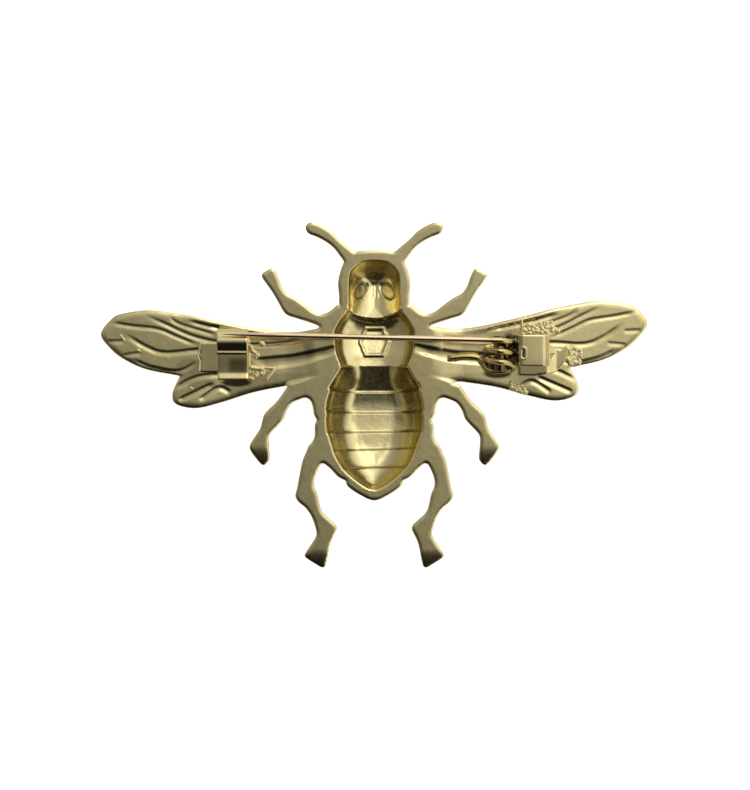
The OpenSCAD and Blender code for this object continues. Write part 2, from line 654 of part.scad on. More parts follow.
// Points of the tail that lies on the wing, from the coil's axis and its last turn
tail_z = wing_z + wire_d / 2 + wire_gap;
tail_from = [coil_reach, coil_seat - coil_pitch * coil_end / 360, tail_z];
tail = [for (p = [[-2.04, 0.48], [-3.34, 0.82], [-4.94, 0.92], [-6.44, 0.52]]) tail_from + [p[0], p[1], 0]];
module pin_coil() {
    first = split_angle + lift_max + split_spare;
    color(wire_gold) translate([0, -mid_y, 0])
        wire(concat([for (a = [first : coil_step : coil_end]) coil_point(a)], tail), wire_d / 2);
}

bee_body();
pin_stem();
pin_coil();
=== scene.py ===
import math

import bpy
import numpy as np
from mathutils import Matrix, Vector
from mathutils.geometry import delaunay_2d_cdt


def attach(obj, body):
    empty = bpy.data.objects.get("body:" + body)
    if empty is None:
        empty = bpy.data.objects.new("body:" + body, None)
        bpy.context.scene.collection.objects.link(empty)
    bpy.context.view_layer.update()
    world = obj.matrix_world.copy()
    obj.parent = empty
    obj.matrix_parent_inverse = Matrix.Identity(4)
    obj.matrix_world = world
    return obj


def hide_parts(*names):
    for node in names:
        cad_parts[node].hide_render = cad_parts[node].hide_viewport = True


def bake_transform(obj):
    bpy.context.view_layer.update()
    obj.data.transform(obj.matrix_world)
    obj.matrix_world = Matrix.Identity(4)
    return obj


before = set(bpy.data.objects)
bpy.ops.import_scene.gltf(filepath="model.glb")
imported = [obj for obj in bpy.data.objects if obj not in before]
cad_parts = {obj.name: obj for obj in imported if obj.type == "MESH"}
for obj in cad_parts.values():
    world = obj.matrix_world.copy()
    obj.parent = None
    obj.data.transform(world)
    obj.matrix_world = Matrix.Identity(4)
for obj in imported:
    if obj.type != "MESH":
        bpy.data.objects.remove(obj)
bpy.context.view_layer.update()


# Studio: the brooch lies face down on a pale sheet, and the camera looks straight down on it
# from about 0.4 m. A wide soft light stands beyond the head, and the room is dark towards the tail.
mm = 0.001
pixel_width = 0.1275 * mm
picture_rows = 790
sensor = 36
lens = 150
back_plane = 5.6 * mm
picture_shift = 0.09 * mm

camera_data = bpy.data.cameras.new("camera")
camera_data.lens = lens
camera_data.sensor_width = sensor
camera = bpy.data.objects.new("camera", camera_data)
camera.location = (picture_shift, 0, back_plane + pixel_width * picture_rows * lens / sensor)
bpy.context.scene.collection.objects.link(camera)
bpy.context.scene.camera = camera
bpy.context.scene.view_settings.view_transform = "Standard"


def linear(hex_colour):
    """An sRGB hex colour as linear red, green, blue and alpha."""
    parts = [int(hex_colour[i : i + 2], 16) / 255 for i in (1, 3, 5)]
    return [p / 12.92 if p <= 0.04045 else ((p + 0.055) / 1.055) ** 2.4 for p in parts] + [1]


def add_node(tree, kind, inputs=None, **settings):
    """Adds a node, sets its settings, and sets or links its inputs by name or number."""
    node = tree.nodes.new(kind)
    for name, value in settings.items():
        setattr(node, name, value)
    for key, value in (inputs or {}).items():
        if isinstance(value, bpy.types.NodeSocket):
            tree.links.new(value, node.inputs[key])
        else:
            node.inputs[key].default_value = value
    return node


def set_ramp(node, stops):
    """Gives a colour ramp its stops, as (position, linear colour) pairs."""
    ramp = node.color_ramp
    while len(ramp.elements) > 1:
        ramp.elements.remove(ramp.elements[-1])
    ramp.elements[0].position, ramp.elements[0].color = stops[0]
    for position, colour in stops[1:]:
        ramp.elements.new(position).color = colour


def grey(value):
    return [value, value, value, 1]


# Brightness of the room by direction, as (place, brightness). The first runs from the tail side (0)
# over straight up (0.5) to the head side (1), and the others from the left (0) to the right (1).
tail_to_head = [
    (0.0, 0.012), (0.3, 0.012), (0.39, 0.03), (0.44, 0.08), (0.475, 0.2), (0.5, 0.26), (0.53, 0.35),
    (0.57, 0.5), (0.62, 0.66), (0.7, 0.76), (0.78, 0.68), (0.84, 0.8), (0.9, 0.95), (1.0, 0.95),
]
left_to_right = [
    (0.0, 0.5), (0.35, 0.55), (0.45, 0.8), (0.5, 1.0), (0.515, 1.35), (0.55, 1.8), (0.68, 1.8),
    (1.0, 1.2),
]
side_light = [
    (0.0, 0.15), (0.22, 0.2), (0.36, 0.0), (0.62, 0.0), (0.7, 0.8), (0.8, 1.1), (0.9, 0.9),
    (1.0, 0.5),
]
# A strong soft box, by the same two directions, beyond the head and a little to the right
box_along = [(0.62, 0.0), (0.68, 1.7), (0.74, 1.7), (0.8, 0.4), (0.88, 0.0)]
box_across = [(0.48, 0.0), (0.51, 0.8), (0.55, 1.0), (0.6, 1.0), (0.66, 0.0)]
backdrop = 0.96

world = bpy.data.worlds.new("studio")
bpy.context.scene.world = world
world.use_nodes = True
room = world.node_tree
room.nodes.clear()
direction = add_node(room, "ShaderNodeTexCoord").outputs["Generated"]
axes = add_node(room, "ShaderNodeSeparateXYZ", {0: direction}).outputs


def by_direction(axis, rows):
    """Brightness of the room along one axis."""
    whole = {"Value": axes[axis], "From Min": -1, "From Max": 1}
    share = add_node(room, "ShaderNodeMapRange", whole)
    ramp = add_node(room, "ShaderNodeValToRGB", {0: share.outputs[0]})
    set_ramp(ramp, [(place, grey(value)) for place, value in rows])
    return ramp.outputs[0]


def blended(first, second, kind):
    inputs = {0: 1.0, 1: first, 2: second}
    return add_node(room, "ShaderNodeMixRGB", inputs, blend_type=kind).outputs[0]


lit = blended(by_direction(1, tail_to_head), by_direction(0, left_to_right), "MULTIPLY")
lit = blended(lit, by_direction(0, side_light), "LIGHTEN")
soft_box = blended(by_direction(1, box_along), by_direction(0, box_across), "MULTIPLY")
lit = blended(lit, soft_box, "ADD")
seen = add_node(room, "ShaderNodeLightPath").outputs["Is Camera Ray"]
tone = add_node(room, "ShaderNodeMixRGB", {0: seen, 1: lit, 2: grey(backdrop)}).outputs[0]
glow = add_node(room, "ShaderNodeBackground", {"Color": tone, "Strength": 1.0})
add_node(room, "ShaderNodeOutputWorld", {"Surface": glow.outputs[0]})

floor_half = 3
floor_mesh = bpy.data.meshes.new("floor")
square = ((-1, -1), (1, -1), (1, 1), (-1, 1))
floor_corners = [(x * floor_half, y * floor_half, 0) for x, y in square]
floor_mesh.from_pydata(floor_corners, [], [(0, 1, 2, 3)])
floor = bpy.data.objects.new("floor", floor_mesh)
bpy.context.scene.collection.objects.link(floor)
paper = bpy.data.materials.new("white_paper")
paper.use_nodes = True
sheet = paper.node_tree.nodes["Principled BSDF"]
sheet.inputs["Base Color"].default_value = linear("#e8e7e4")
sheet.inputs["Roughness"].default_value = 0.7
sheet.inputs["Emission Color"].default_value = linear("#ffffff")
# The sheet glows white to the eye, and dimly in what the metal mirrors of it
mirrored_glow = 0.15
added_glow = 0.72
to_eye = add_node(paper.node_tree, "ShaderNodeLightPath").outputs["Is Camera Ray"]
glows = {0: to_eye, 1: added_glow, 2: mirrored_glow}
sheet_glow = add_node(paper.node_tree, "ShaderNodeMath", glows, operation="MULTIPLY_ADD")
paper.node_tree.links.new(sheet_glow.outputs[0], sheet.inputs["Emission Strength"])
floor_mesh.materials.append(paper)


# Casting, outlines: the whole bee is one zinc alloy casting, poured flat with its back open. Its
# legs, antennae and rims are flat plates, and the wing pair sits turned a little on the body.
# Rows of an outline are places across and along from the brooch's middle, and a 1 at a corner.
waist_y = 3.72
neck_y = waist_y + 6.25
head_top_y = neck_y + 8.48
wing_seat_y = waist_y + 3.57
wing_turn = math.radians(1.2)
wing_reach = 35
wing_chord = 8.3

# Shares of the wing's reach and chord, from the root along the leading edge and back
fore_wing = [
    (0.09, 0.23), (0.195, 0.169), (0.291, 0.114), (0.387, 0.149), (0.544, 0.283), (0.649, 0.389),
    (0.735, 0.455), (0.827, 0.502), (0.913, 0.46), (0.953, 0.395), (0.998, 0.16), (0.973, -0.037),
    (0.922, -0.231), (0.836, -0.409), (0.711, -0.523, 1), (0.545, -0.554), (0.364, -0.523),
    (0.09, -0.44),
]
hind_wing = [
    (0.218, -0.108), (0.5, -0.3), (0.711, -0.523, 1), (0.727, -0.646), (0.741, -0.8),
    (0.73, -0.954), (0.655, -1.026), (0.557, -0.938), (0.443, -0.798), (0.311, -0.7, 1),
    (0.182, -0.708),
]
# Shares of each limb's reach, and of its rise or drop from its joint
fore_leg = [
    (0.265, 0.2), (0.319, 0.393, 1), (0.398, 0.265), (0.46, 0.222), (0.531, 0.256), (0.619, 0.385),
    (0.699, 0.494), (0.775, 0.574), (0.82, 0.691), (0.85, 0.855), (0.896, 1), (0.973, 0.94),
    (1, 0.863), (0.912, 0.615), (0.854, 0.427), (0.81, 0.274), (0.77, 0.197), (0.673, 0.137),
    (0.549, 0.06), (0.475, 0, 1), (0.3, -0.06),
]
mid_leg = [
    (0.36, -0.1), (0.687, 0, 1), (0.779, 0.2), (0.843, 0.296), (0.884, 0.364), (0.897, 0.426),
    (0.916, 0.538), (0.964, 0.652), (1, 0.744), (0.996, 0.811), (0.936, 0.938), (0.892, 0.998),
    (0.85, 0.95), (0.839, 0.886), (0.849, 0.662), (0.822, 0.58), (0.769, 0.496), (0.725, 0.414),
    (0.707, 0.327), (0.659, 0.222), (0.594, 0.177), (0.546, 0.158), (0.506, 0.21), (0.48, 0.3),
    (0.4, 0.2),
]
hind_leg = [
    (0.6, -0.03), (0.798, 0), (0.865, 0.076), (0.915, 0.159), (0.975, 0.354), (1, 0.423),
    (0.96, 0.472), (0.869, 0.519), (0.789, 0.596), (0.744, 0.679), (0.732, 0.734), (0.783, 0.794),
    (0.884, 0.894), (0.859, 0.922), (0.727, 0.975), (0.657, 0.999), (0.61, 0.978), (0.564, 0.832),
    (0.527, 0.762), (0.476, 0.698), (0.48, 0.657), (0.568, 0.606), (0.667, 0.538), (0.72, 0.402),
    (0.758, 0.35), (0.758, 0.29), (0.72, 0.222), (0.669, 0.166), (0.606, 0.156), (0.559, 0.175),
    (0.48, 0.08),
]
antenna = [
    (0.203, 0.05), (0.29, 0.245, 1), (0.377, 0.375), (0.507, 0.563), (0.623, 0.763), (0.765, 0.918),
    (0.891, 0.993), (0.978, 0.955), (0.999, 0.843), (0.962, 0.713), (0.843, 0.633), (0.707, 0.508),
    (0.591, 0.35), (0.5, 0.15), (0.435, 0, 1), (0.3, -0.1),
]
# Half outlines of the flat rims, as shares of half width and length
abdomen_rim = [
    (0, -0.3), (0.6, -0.12), (0.833, 0.044), (1, 0.237), (1.017, 0.322), (1, 0.37),
    (0.95, 0.402, 1), (0.992, 0.436), (0.992, 0.519), (1.033, 0.585), (0.9, 0.696), (0.733, 0.763),
    (0.608, 0.822), (0.47, 0.854, 1), (0.45, 0.893), (0.242, 0.957), (0, 1),
]
thorax_rim = [
    (0, -0.2), (1.3, -0.15), (1.45, 0.2), (1.5, 0.6), (1.3, 0.86), (0.9, 1.12), (0, 1.2),
]
head_rim = [
    (0, -0.3), (0.8, -0.06), (0.964, 0.195), (0.972, 0.316), (1, 0.511), (0.937, 0.687),
    (0.826, 0.827), (0.551, 0.974), (0, 1),
]


def area(loop):
    """Area inside a loop, positive if it runs counter-clockwise."""
    following = np.roll(loop, -1, 0)
    return ((loop[:, 0] * following[:, 1]) - (loop[:, 1] * following[:, 0])).sum() / 2


def spline(a, b, c, d, steps):
    """Points of a Catmull-Rom curve from b to just before c, coming from a and going on to d."""
    share = (np.arange(steps) / steps)[:, None]
    squared = (2 * a - 5 * b + 4 * c - d) * share**2
    return (2 * b + (c - a) * share + squared + (3 * b - a - 3 * c + d) * share**3) / 2


def closed_curve(rows, steps=6):
    """Closed curve through the rows of an outline, straight out of a corner."""
    points = np.array([row[:2] for row in rows], float)
    corner = [len(row) > 2 for row in rows]
    count = len(rows)
    parts = []
    for i in range(count):
        b, c = points[i], points[(i + 1) % count]
        a = 2 * b - c if corner[i] else points[i - 1]
        d = 2 * c - b if corner[(i + 1) % count] else points[(i + 2) % count]
        parts.append(spline(a, b, c, d, steps))
    return np.concatenate(parts)


def placed(rows, reach, rise, seat_y):
    """Rows of shares as rows in mm, from a joint at seat_y."""
    return [(r[0] * reach, seat_y + r[1] * rise, *r[2:]) for r in rows]


def mirrored(rows):
    """A half outline that starts and ends on the middle line, with its other side added."""
    return rows + [(-r[0], r[1], *r[2:]) for r in reversed(rows[1:-1])]


def turned(points, angle, centre_y):
    """Points in mm turned about the middle line at centre_y."""
    x, y = points[:, 0], points[:, 1] - centre_y
    cos, sin = math.cos(angle), math.sin(angle)
    return np.c_[x * cos - y * sin, centre_y + x * sin + y * cos]


right_side, left_side = np.array([1, 1]), np.array([-1, 1])
# Columns: shares, reach or half width, rise or length, and where the joint or the rim's end lies
limb_sizes = [
    (fore_leg, 14.4, 7.46, waist_y + 4.97), (mid_leg, 15.9, -10.33, waist_y - 2.42),
    (hind_leg, 10.1, -15.94, waist_y - 9.86), (antenna, 8.8, 5.1, head_top_y - 1.47),
]
rim_sizes = [
    (abdomen_rim, 7.65, -17.2, waist_y), (thorax_rim, 5.1, 6.25, waist_y),
    (head_rim, 4.63, 8.48, neck_y),
]
limbs = [closed_curve(placed(*sizes)) for sizes in limb_sizes]
limbs += [limb * left_side for limb in limbs]
rims = [closed_curve(mirrored(placed(*sizes))) for sizes in rim_sizes]
right_wings = [placed(w, wing_reach, wing_chord, wing_seat_y) for w in (fore_wing, hind_wing)]
wings = [
    turned(closed_curve(wing) * side, wing_turn, wing_seat_y)
    for wing in right_wings for side in (right_side, left_side)
]


def joined_outline(outlines):
    """The outer outline of overlapping outlines, as one counter-clockwise loop."""
    corners, faces = [], []
    for outline in outlines:
        outline = outline if area(outline) > 0 else outline[::-1]
        faces.append(list(range(len(corners), len(corners) + len(outline))))
        corners += [Vector(p) for p in outline]
    found, _, triangles, _, _, owners = delaunay_2d_cdt(corners, [], faces, 0, 1e-4)
    following = {}
    used = set()
    for triangle, owner in zip(triangles, owners):
        if owner:
            used.update(zip(triangle, triangle[1:] + triangle[:1]))
    for a, b in used:
        if (b, a) not in used:
            following[a] = b
    loops = []
    while following:
        start = next(iter(following))
        loop = []
        while start in following:
            loop.append(start)
            start = following.pop(start)
        loops.append(np.array([found[i][:] for i in loop]))
    return max(loops, key=len)


def respaced(loop, spacing):
    """The same closed loop with evenly spaced points."""
    closed = np.r_[loop, loop[:1]]
    run = np.r_[0, np.cumsum(np.linalg.norm(np.diff(closed, axis=0), axis=1))]
    places = np.linspace(0, run[-1], int(run[-1] / spacing), endpoint=False)
    return np.c_[np.interp(places, run, closed[:, 0]), np.interp(places, run, closed[:, 1])]


def softened(loop, passes):
    """The loop with its corners rounded by averaging neighbours."""
    for _ in range(passes):
        loop = loop / 2 + (np.roll(loop, 1, 0) + np.roll(loop, -1, 0)) / 4
    return loop


def normals(loop):
    """Outward unit normals of a counter-clockwise loop."""
    along_loop = np.roll(loop, -1, 0) - np.roll(loop, 1, 0)
    along_loop /= np.linalg.norm(along_loop, axis=1)[:, None]
    return np.c_[along_loop[:, 1], -along_loop[:, 0]]


draw_step = 0.06


def drawn_in(loop, by):
    """The loop moved inwards, in small steps so that tight bends don't cross themselves."""
    steps = max(1, math.ceil(abs(by) / draw_step))
    for _ in range(steps):
        loop = softened(loop - normals(loop) * by / steps, 1)
    return loop


outline_spacing = 0.16
outline = joined_outline(limbs + rims + wings)
outline = softened(respaced(outline, outline_spacing), 2)


# Casting, shape of the back: open dishes behind head, thorax and abdomen, with the inner side of
# the bee's bands, eyes and hexagon, and wings whose veins show as grooves.
rim_z = 5.6
wing_z = 5.3
wall = 1.0
dish_depth = rim_z - wall
waist_ridge_y = 3.64

# Half outlines of the dishes' edges, in mm
head_half = [
    (0, 17.2), (1.15, 17.1), (2.05, 16.8), (3.1, 15.7), (3.3, 13.9), (3.3, 11.9), (3.2, 10.9, 1),
]
thorax_half = [
    (3.5, 10.65), (4.3, 9.75), (5.0, 8.5), (5.1, 7.8), (4.9, 5.5), (4.3, 3.85, 1),
]
abdomen_half = [
    (4.25, 3.5, 1), (5.7, 1.15), (5.75, 0.85, 1), (5.62, 0.72, 1), (6.05, -0.65), (6.2, -1.9),
    (6.2, -2.1, 1), (6.05, -2.2, 1), (6.17, -3.2), (6.05, -4.8, 1), (5.92, -4.9, 1), (5.4, -6.6),
    (4.95, -7.9), (4.1, -9.3), (2.7, -10.65), (1.15, -11.75), (0, -12.1),
]
dish_spacing = 0.12
neck_lip_y = 9.85
neck_lip_bend = 0.085


def even_loop(rows, spacing):
    """Evenly spaced counter-clockwise loop through the rows of an outline."""
    loop = closed_curve(rows)
    return softened(respaced(loop if area(loop) > 0 else loop[::-1], spacing), 1)


def dish_loop(half):
    return even_loop(mirrored(half), dish_spacing)


dish_edge = dish_loop(head_half + thorax_half + abdomen_half)
# The same walls carried on past the neck and the waist, where each dish runs out into the next
head_walls = dish_loop(head_half[:-1] + [(3.3, 8, 1), (0, 8)])
thorax_walls = dish_loop([(0, 13), (3.2, 13, 1), (3.2, 11.5)] + thorax_half + [(4.0, 0, 1), (0, 0)])
abdomen_walls = dish_loop([(0, 7.5), (4.0, 7.5, 1)] + abdomen_half)
ridge_half = 3.9
lip_half = 3.0
ridge_xs, lip_xs = [np.arange(-half, half + 0.05, dish_spacing) for half in (ridge_half, lip_half)]
waist_ridge = np.array([(x, waist_ridge_y) for x in ridge_xs])
neck_lip = np.array([(x, neck_lip_y + neck_lip_bend * x * x) for x in lip_xs])


def smooth(low, high, value):
    """0 below low, 1 above high, and an even curve between."""
    share = np.clip((value - low) / (high - low), 0, 1)
    return share * share * (3 - 2 * share)


def bump(value, width):
    """1 at 0, falling smoothly to 0 at width on either side."""
    return np.clip(1 - (value / width) ** 2, 0, 1) ** 2


def inside(points, loop):
    """Whether each point lies inside a closed loop."""
    order = np.argsort(points[:, 1])
    xs, ys = points[order].T
    odd = np.zeros(len(points), bool)
    for (x1, y1), (x2, y2) in zip(loop, np.roll(loop, -1, 0)):
        if y1 != y2:
            low, high = np.searchsorted(ys, sorted((y1, y2)))
            odd[low:high] ^= xs[low:high] < x1 + (ys[low:high] - y1) / (y2 - y1) * (x2 - x1)
    result = np.empty(len(points), bool)
    result[order] = odd
    return result


def distance(points, path, reach):
    """Distance of each point to an open path, up to reach, and the share of the path where it is
    nearest. The distance's second column is positive to the left of the path."""
    order = np.argsort(points[:, 1])
    ordered = points[order]
    run = np.diff(path, axis=0)
    lengths = np.linalg.norm(run, axis=1)
    before = np.r_[0, np.cumsum(lengths)]
    best = np.full(len(points), float(reach))
    share_at = np.zeros(len(points))
    side = np.zeros(len(points))
    for a, b, r, length, start in zip(path[:-1], path[1:], run, lengths, before):
        if length < 1e-9:
            continue
        limits = [min(a[1], b[1]) - reach, max(a[1], b[1]) + reach]
        low, high = np.searchsorted(ordered[:, 1], limits)
        away = ordered[low:high] - a
        share = np.clip((away @ r) / length**2, 0, 1)
        far = np.hypot(*(away - share[:, None] * r).T)
        near = np.flatnonzero(far < best[low:high]) + low
        kept = near - low
        best[near] = far[kept]
        share_at[near] = (start + share[kept] * length) / before[-1]
        side[near] = np.sign(r[0] * away[kept, 1] - r[1] * away[kept, 0])
    result = np.empty((len(points), 3))
    result[order] = np.c_[best, best * side, share_at]
    return result.T


def depth_inside(points, loop, reach=4.0):
    """Distance inwards from a loop, negative outside it, and no further than reach."""
    low, high = loop.min(0) - reach, loop.max(0) + reach
    near = ((points > low) & (points < high)).all(1)
    result = np.full(len(points), -reach)
    chosen = points[near]
    far = distance(chosen, np.r_[loop, loop[:1]], reach)[0]
    result[near] = np.where(inside(chosen, loop), far, -far)
    return result


def eased(value, rows):
    """Smooth curve through rows of (place, height)."""
    places, heights = np.array(rows, float).T
    slopes = np.gradient(heights, places)
    i = np.clip(np.searchsorted(places, value) - 1, 0, len(places) - 2)
    gap = places[i + 1] - places[i]
    t = np.clip((value - places[i]) / gap, 0, 1)
    return (
        heights[i] * (1 + 2 * t) * (1 - t) ** 2 + slopes[i] * gap * t * (1 - t) ** 2
        + heights[i + 1] * t**2 * (3 - 2 * t) + slopes[i + 1] * gap * t**2 * (t - 1)
    )


# Floors of the dishes. Columns: place along the body in mm, share of the dish depth.
head_floor = [
    (8.8, 0.46), (9.85, 0.53), (10.8, 0.6), (12.0, 0.69), (13.2, 0.77), (14.2, 0.81), (15.0, 0.77),
    (15.8, 0.66), (16.6, 0.5), (17.4, 0.3),
]
thorax_floor = [
    (3.5, 0.605), (4.2, 0.65), (5.2, 0.69), (6.2, 0.725), (7.6, 0.77), (8.5, 0.79), (9.0, 0.75),
    (9.5, 0.65), (9.85, 0.53), (10.6, 0.2),
]
abdomen_floor = [
    (-12.4, 0.12), (-11.6, 0.28), (-10.6, 0.43), (-9.3, 0.585), (-7.0, 0.745), (-4.7, 0.85),
    (-2.2, 0.94), (-0.6, 0.965), (0.5, 0.95), (0.9, 0.93), (2.2, 0.785), (3.64, 0.62),
]
# Shares of the floor's depth across a dish. Columns: share of the half width, share of the depth.
head_across = [(0, 1), (0.3, 0.955), (0.55, 0.84), (0.75, 0.68), (0.9, 0.48), (0.97, 0.31), (1, 0)]
thorax_across = [
    (0, 1), (0.45, 0.96), (0.68, 0.87), (0.84, 0.74), (0.94, 0.56), (0.98, 0.4), (1, 0),
]
abdomen_across = [
    (0, 1), (0.3, 0.985), (0.52, 0.945), (0.6, 0.88), (0.8, 0.62), (0.9, 0.44), (0.97, 0.18),
    (1, 0),
]
# Half widths of the dishes along the body, in mm
head_width = [(9.0, 3.3), (13.9, 3.3), (15.7, 3.1), (16.8, 2.05), (17.2, 0.6)]
thorax_width = [(3.6, 4.3), (5.5, 4.9), (7.8, 5.1), (8.5, 5.0), (9.75, 4.3), (10.75, 3.4)]
abdomen_width = [
    (-12.1, 0.5), (-11.75, 1.15), (-10.65, 2.7), (-9.3, 4.1), (-7.9, 4.95), (-6.6, 5.4),
    (-4.9, 6.0), (-3.2, 6.17), (-1.9, 6.2), (-0.65, 6.05), (0.8, 5.7), (1.15, 5.7), (3.64, 4.25),
]
# Lines between the abdomen's bands, where the floor steps. Columns: place in mm, sag in the
# middle, and rise over band_half to the right.
band_lines = [
    (0.5, 0.34, 0.0), (-2.2, 0.2, 0.0), (-4.7, 0.16, 0.1), (-6.95, 0.1, 0.2), (-9.28, 0.0, 0.2),
]
band_half = 6
band_step = 0.2
band_ease = 0.11
band_fade = 2.4

# The right eye's ring: place, half sizes and lean. Then heights of its outer rim, its groove and
# its middle, and the nose between the eyes, with the places where it rises and falls.
eye_place = (1.72, 13.35)
eye_half = (0.66, 1.1)
eye_lean = math.radians(32)
eye_rim, eye_groove, eye_middle = 0.05, 0.08, 0.02
nose_x = 0.2
nose_half = 0.22
nose_height = 0.05
nose_low, nose_high = (12.3, 12.7), (14.3, 13.8)

# The hexagon on the thorax. Its frame lies between two reaches, each the start and end of a slope.
hexagon_y = 6.82
hexagon_half = (2.04, 1.91)
hexagon_flat = 1.27
frame_outer, frame_inner = (1.02, 0.96), (0.74, 0.8)
frame_height = 0.14
field_height = 0.05


def eye_ring(x, y):
    """How far out a point is from the middle of its side's eye, 1 on the eye's ring."""
    out = np.abs(x) - eye_place[0]
    up = y - eye_place[1]
    u = (out * math.cos(eye_lean) + up * math.sin(eye_lean)) / eye_half[0]
    v = (up * math.cos(eye_lean) - out * math.sin(eye_lean)) / eye_half[1]
    return np.hypot(u, v)


def eyes(x, y):
    """Two low oval rings that lean together, and a short double ridge between them."""
    r = eye_ring(x, y)
    ridges = bump(np.abs(x - nose_x) - nose_half, 0.2)
    nose = nose_height * ridges * smooth(*nose_low, y) * smooth(*nose_high, y)
    ring = eye_rim * bump(r - 1.32, 0.3) - eye_groove * bump(r - 1.0, 0.26)
    return ring + eye_middle * bump(r, 0.9) + nose


def hexagon_reach(x, y):
    """How far out a point is from the hexagon's middle, 1 on its outline."""
    flat = np.abs(y - hexagon_y) / hexagon_half[1]
    slant_run = hexagon_half[0] - hexagon_flat
    slanted = (np.abs(x) + np.abs(y - hexagon_y) * slant_run / hexagon_half[1]) / hexagon_half[0]
    return np.maximum(flat, slanted)


def band_places(x, y, u):
    """How far above each of the band lines a point is, with u its share of the half width."""
    return [
        y - line + sag * (1 - u**2) - sag / 2 - rise * x / band_half
        for line, sag, rise in band_lines
    ]


head_dish = (head_walls, head_width, head_across, head_floor)
thorax_dish = (thorax_walls, thorax_width, thorax_across, thorax_floor)
abdomen_dish = (abdomen_walls, abdomen_width, abdomen_across, abdomen_floor)


def bowl(points, along, walls, widths, across, floor, grown=0.0):
    """Depth of one dish, from its floor's profile along the body and the profile across it."""
    inward = depth_inside(points, walls) + grown
    half = np.interp(points[:, 1], *np.array(widths, float).T) + grown
    u = np.clip(1 - inward / half, 0, 1)
    depth = eased(along, floor) * eased(u, across) * dish_depth
    return np.where(inward > 0, depth, 0), inward, u


# Half of a ridge's or lip's thickness, within which a point counts to the dish on its own side
hair = 1e-3
# Square of the distance from the middle where the neck's lip stops bending, the places over which
# the head's and the thorax's floors lose its bend, and the fade of eyes and bands at the walls
lip_reach = 12
head_bend, thorax_bend = (13.0, 10.5), (7.0, 9.5)
eye_fade, band_wall_fade = (0.2, 0.8), (0, 0.5)


def dishes(points, grown=0.0):
    """Depth of the dishes below the rim, for dishes grown outwards by a wall."""
    x, y = points.T
    bent = neck_lip_bend * np.minimum(x * x, lip_reach)
    above_lip = y > neck_lip_y + bent - hair
    along = y - bent * smooth(*head_bend, y)
    head, inward, _ = bowl(points, along, *head_dish, grown)
    head = np.where(inward > 0, head - eyes(x, y) * smooth(*eye_fade, inward), 0) * above_lip

    along = y - bent * smooth(*thorax_bend, y)
    thorax, inward, _ = bowl(points, along, *thorax_dish, grown)
    reach = hexagon_reach(x, y)
    frame_ring = frame_height * smooth(*frame_outer, reach) * smooth(*frame_inner, reach)
    frame_ring = frame_ring + field_height * smooth(*frame_inner[::-1], reach)
    thorax = np.where(inward > 0, thorax - frame_ring, 0) * (y > waist_ridge_y + hair) * ~above_lip

    abdomen, inward, u = bowl(points, y, *abdomen_dish, grown)
    steps = np.zeros(len(points))
    for place in band_places(x, y, u):
        eased_step = smooth(-band_ease, band_ease, place) - smooth(-band_fade, band_fade, place)
        steps += band_step * eased_step
    stepped = abdomen + steps * smooth(*band_wall_fade, inward)
    abdomen = np.where(inward > 0, stepped, 0) * (y <= waist_ridge_y + hair)
    return np.maximum(np.maximum(head, thorax), abdomen)


# Veins of one wing in shares of its reach and chord. Columns: width of the steep side towards the
# head and of the easy side in mm, depth in mm, points.
veins = [
    (0.24, 0.5, 0.05, [(0.4, 0.08), (0.545, 0.185), (0.602, 0.238), (0.68, 0.33)]),
    (0.22, 0.45, 0.04, [(0.573, 0.097), (0.624, 0.163), (0.715, 0.294), (0.745, 0.42)]),
    (0.24, 0.5, 0.05, [
        (0.22, 0.03), (0.364, -0.054), (0.51, -0.046), (0.647, 0.069), (0.764, 0.292),
        (0.845, 0.45),
    ]),
    (0.24, 0.5, 0.05, [
        (0.636, -0.06), (0.715, 0.078), (0.787, 0.208), (0.882, 0.265), (0.965, 0.33),
    ]),
    (0.24, 0.6, 0.06, [
        (0.42, -0.25), (0.52, -0.2), (0.633, -0.123), (0.76, -0.155), (0.831, -0.058),
        (0.916, 0.169),
    ]),
    (0.22, 0.5, 0.035, [(0.847, -0.146), (0.92, -0.182)]),
    (0.22, 0.5, 0.035, [(0.909, 0.034), (0.975, 0.038)]),
    (0.24, 0.5, 0.055, [(0.645, -0.297), (0.715, -0.44), (0.813, -0.374), (0.885, -0.24)]),
    (0.26, 0.6, 0.08, [(0.587, -0.638), (0.64, -0.738), (0.724, -0.9)]),
    (0.26, 0.6, 0.07, [(0.522, -0.8), (0.573, -0.71), (0.645, -0.9)]),
    (0.26, 0.6, 0.06, [(0.53, -0.5), (0.638, -0.528), (0.707, -0.645), (0.733, -0.742)]),
]
# Grooves by each wing's root, in the same columns: the soft step along its rear, the groove from
# the root to its fitting, and the slot below the bar
root_grooves = [
    (1.1, 0.4, 0.07, [(0.15, -0.21), (0.2, -0.27), (0.268, -0.35), (0.33, -0.385), (0.44, -0.433)]),
    (0.4, 0.9, 0.08, [
        (0.115, -0.1), (0.16, -0.15), (0.235, -0.215), (0.3, -0.262), (0.355, -0.28), (0.45, -0.31),
    ]),
    (0.24, 0.4, 0.05, [(0.44, 0.1), (0.5, 0.15), (0.56, 0.205), (0.6, 0.24)]),
]
groove_reach = 1.2
groove_fade = 0.15
easy_shape = 0.8
leading_bar = [(0.3, 0.06), (0.42, 0.14), (0.55, 0.26), (0.66, 0.38), (0.71, 0.44)]
bar_half = 0.7
bar_rise = 0.06
bar_fades = (0.25, 0.8)


def open_curve(points, steps=6):
    """Open curve through points."""
    points = np.array(points, float)
    ends = np.r_[[2 * points[0] - points[1]], points, [2 * points[-1] - points[-2]]]
    parts = [spline(*corners, steps) for corners in zip(ends, ends[1:], ends[2:], ends[3:])]
    return np.concatenate(parts + [points[-1:]])


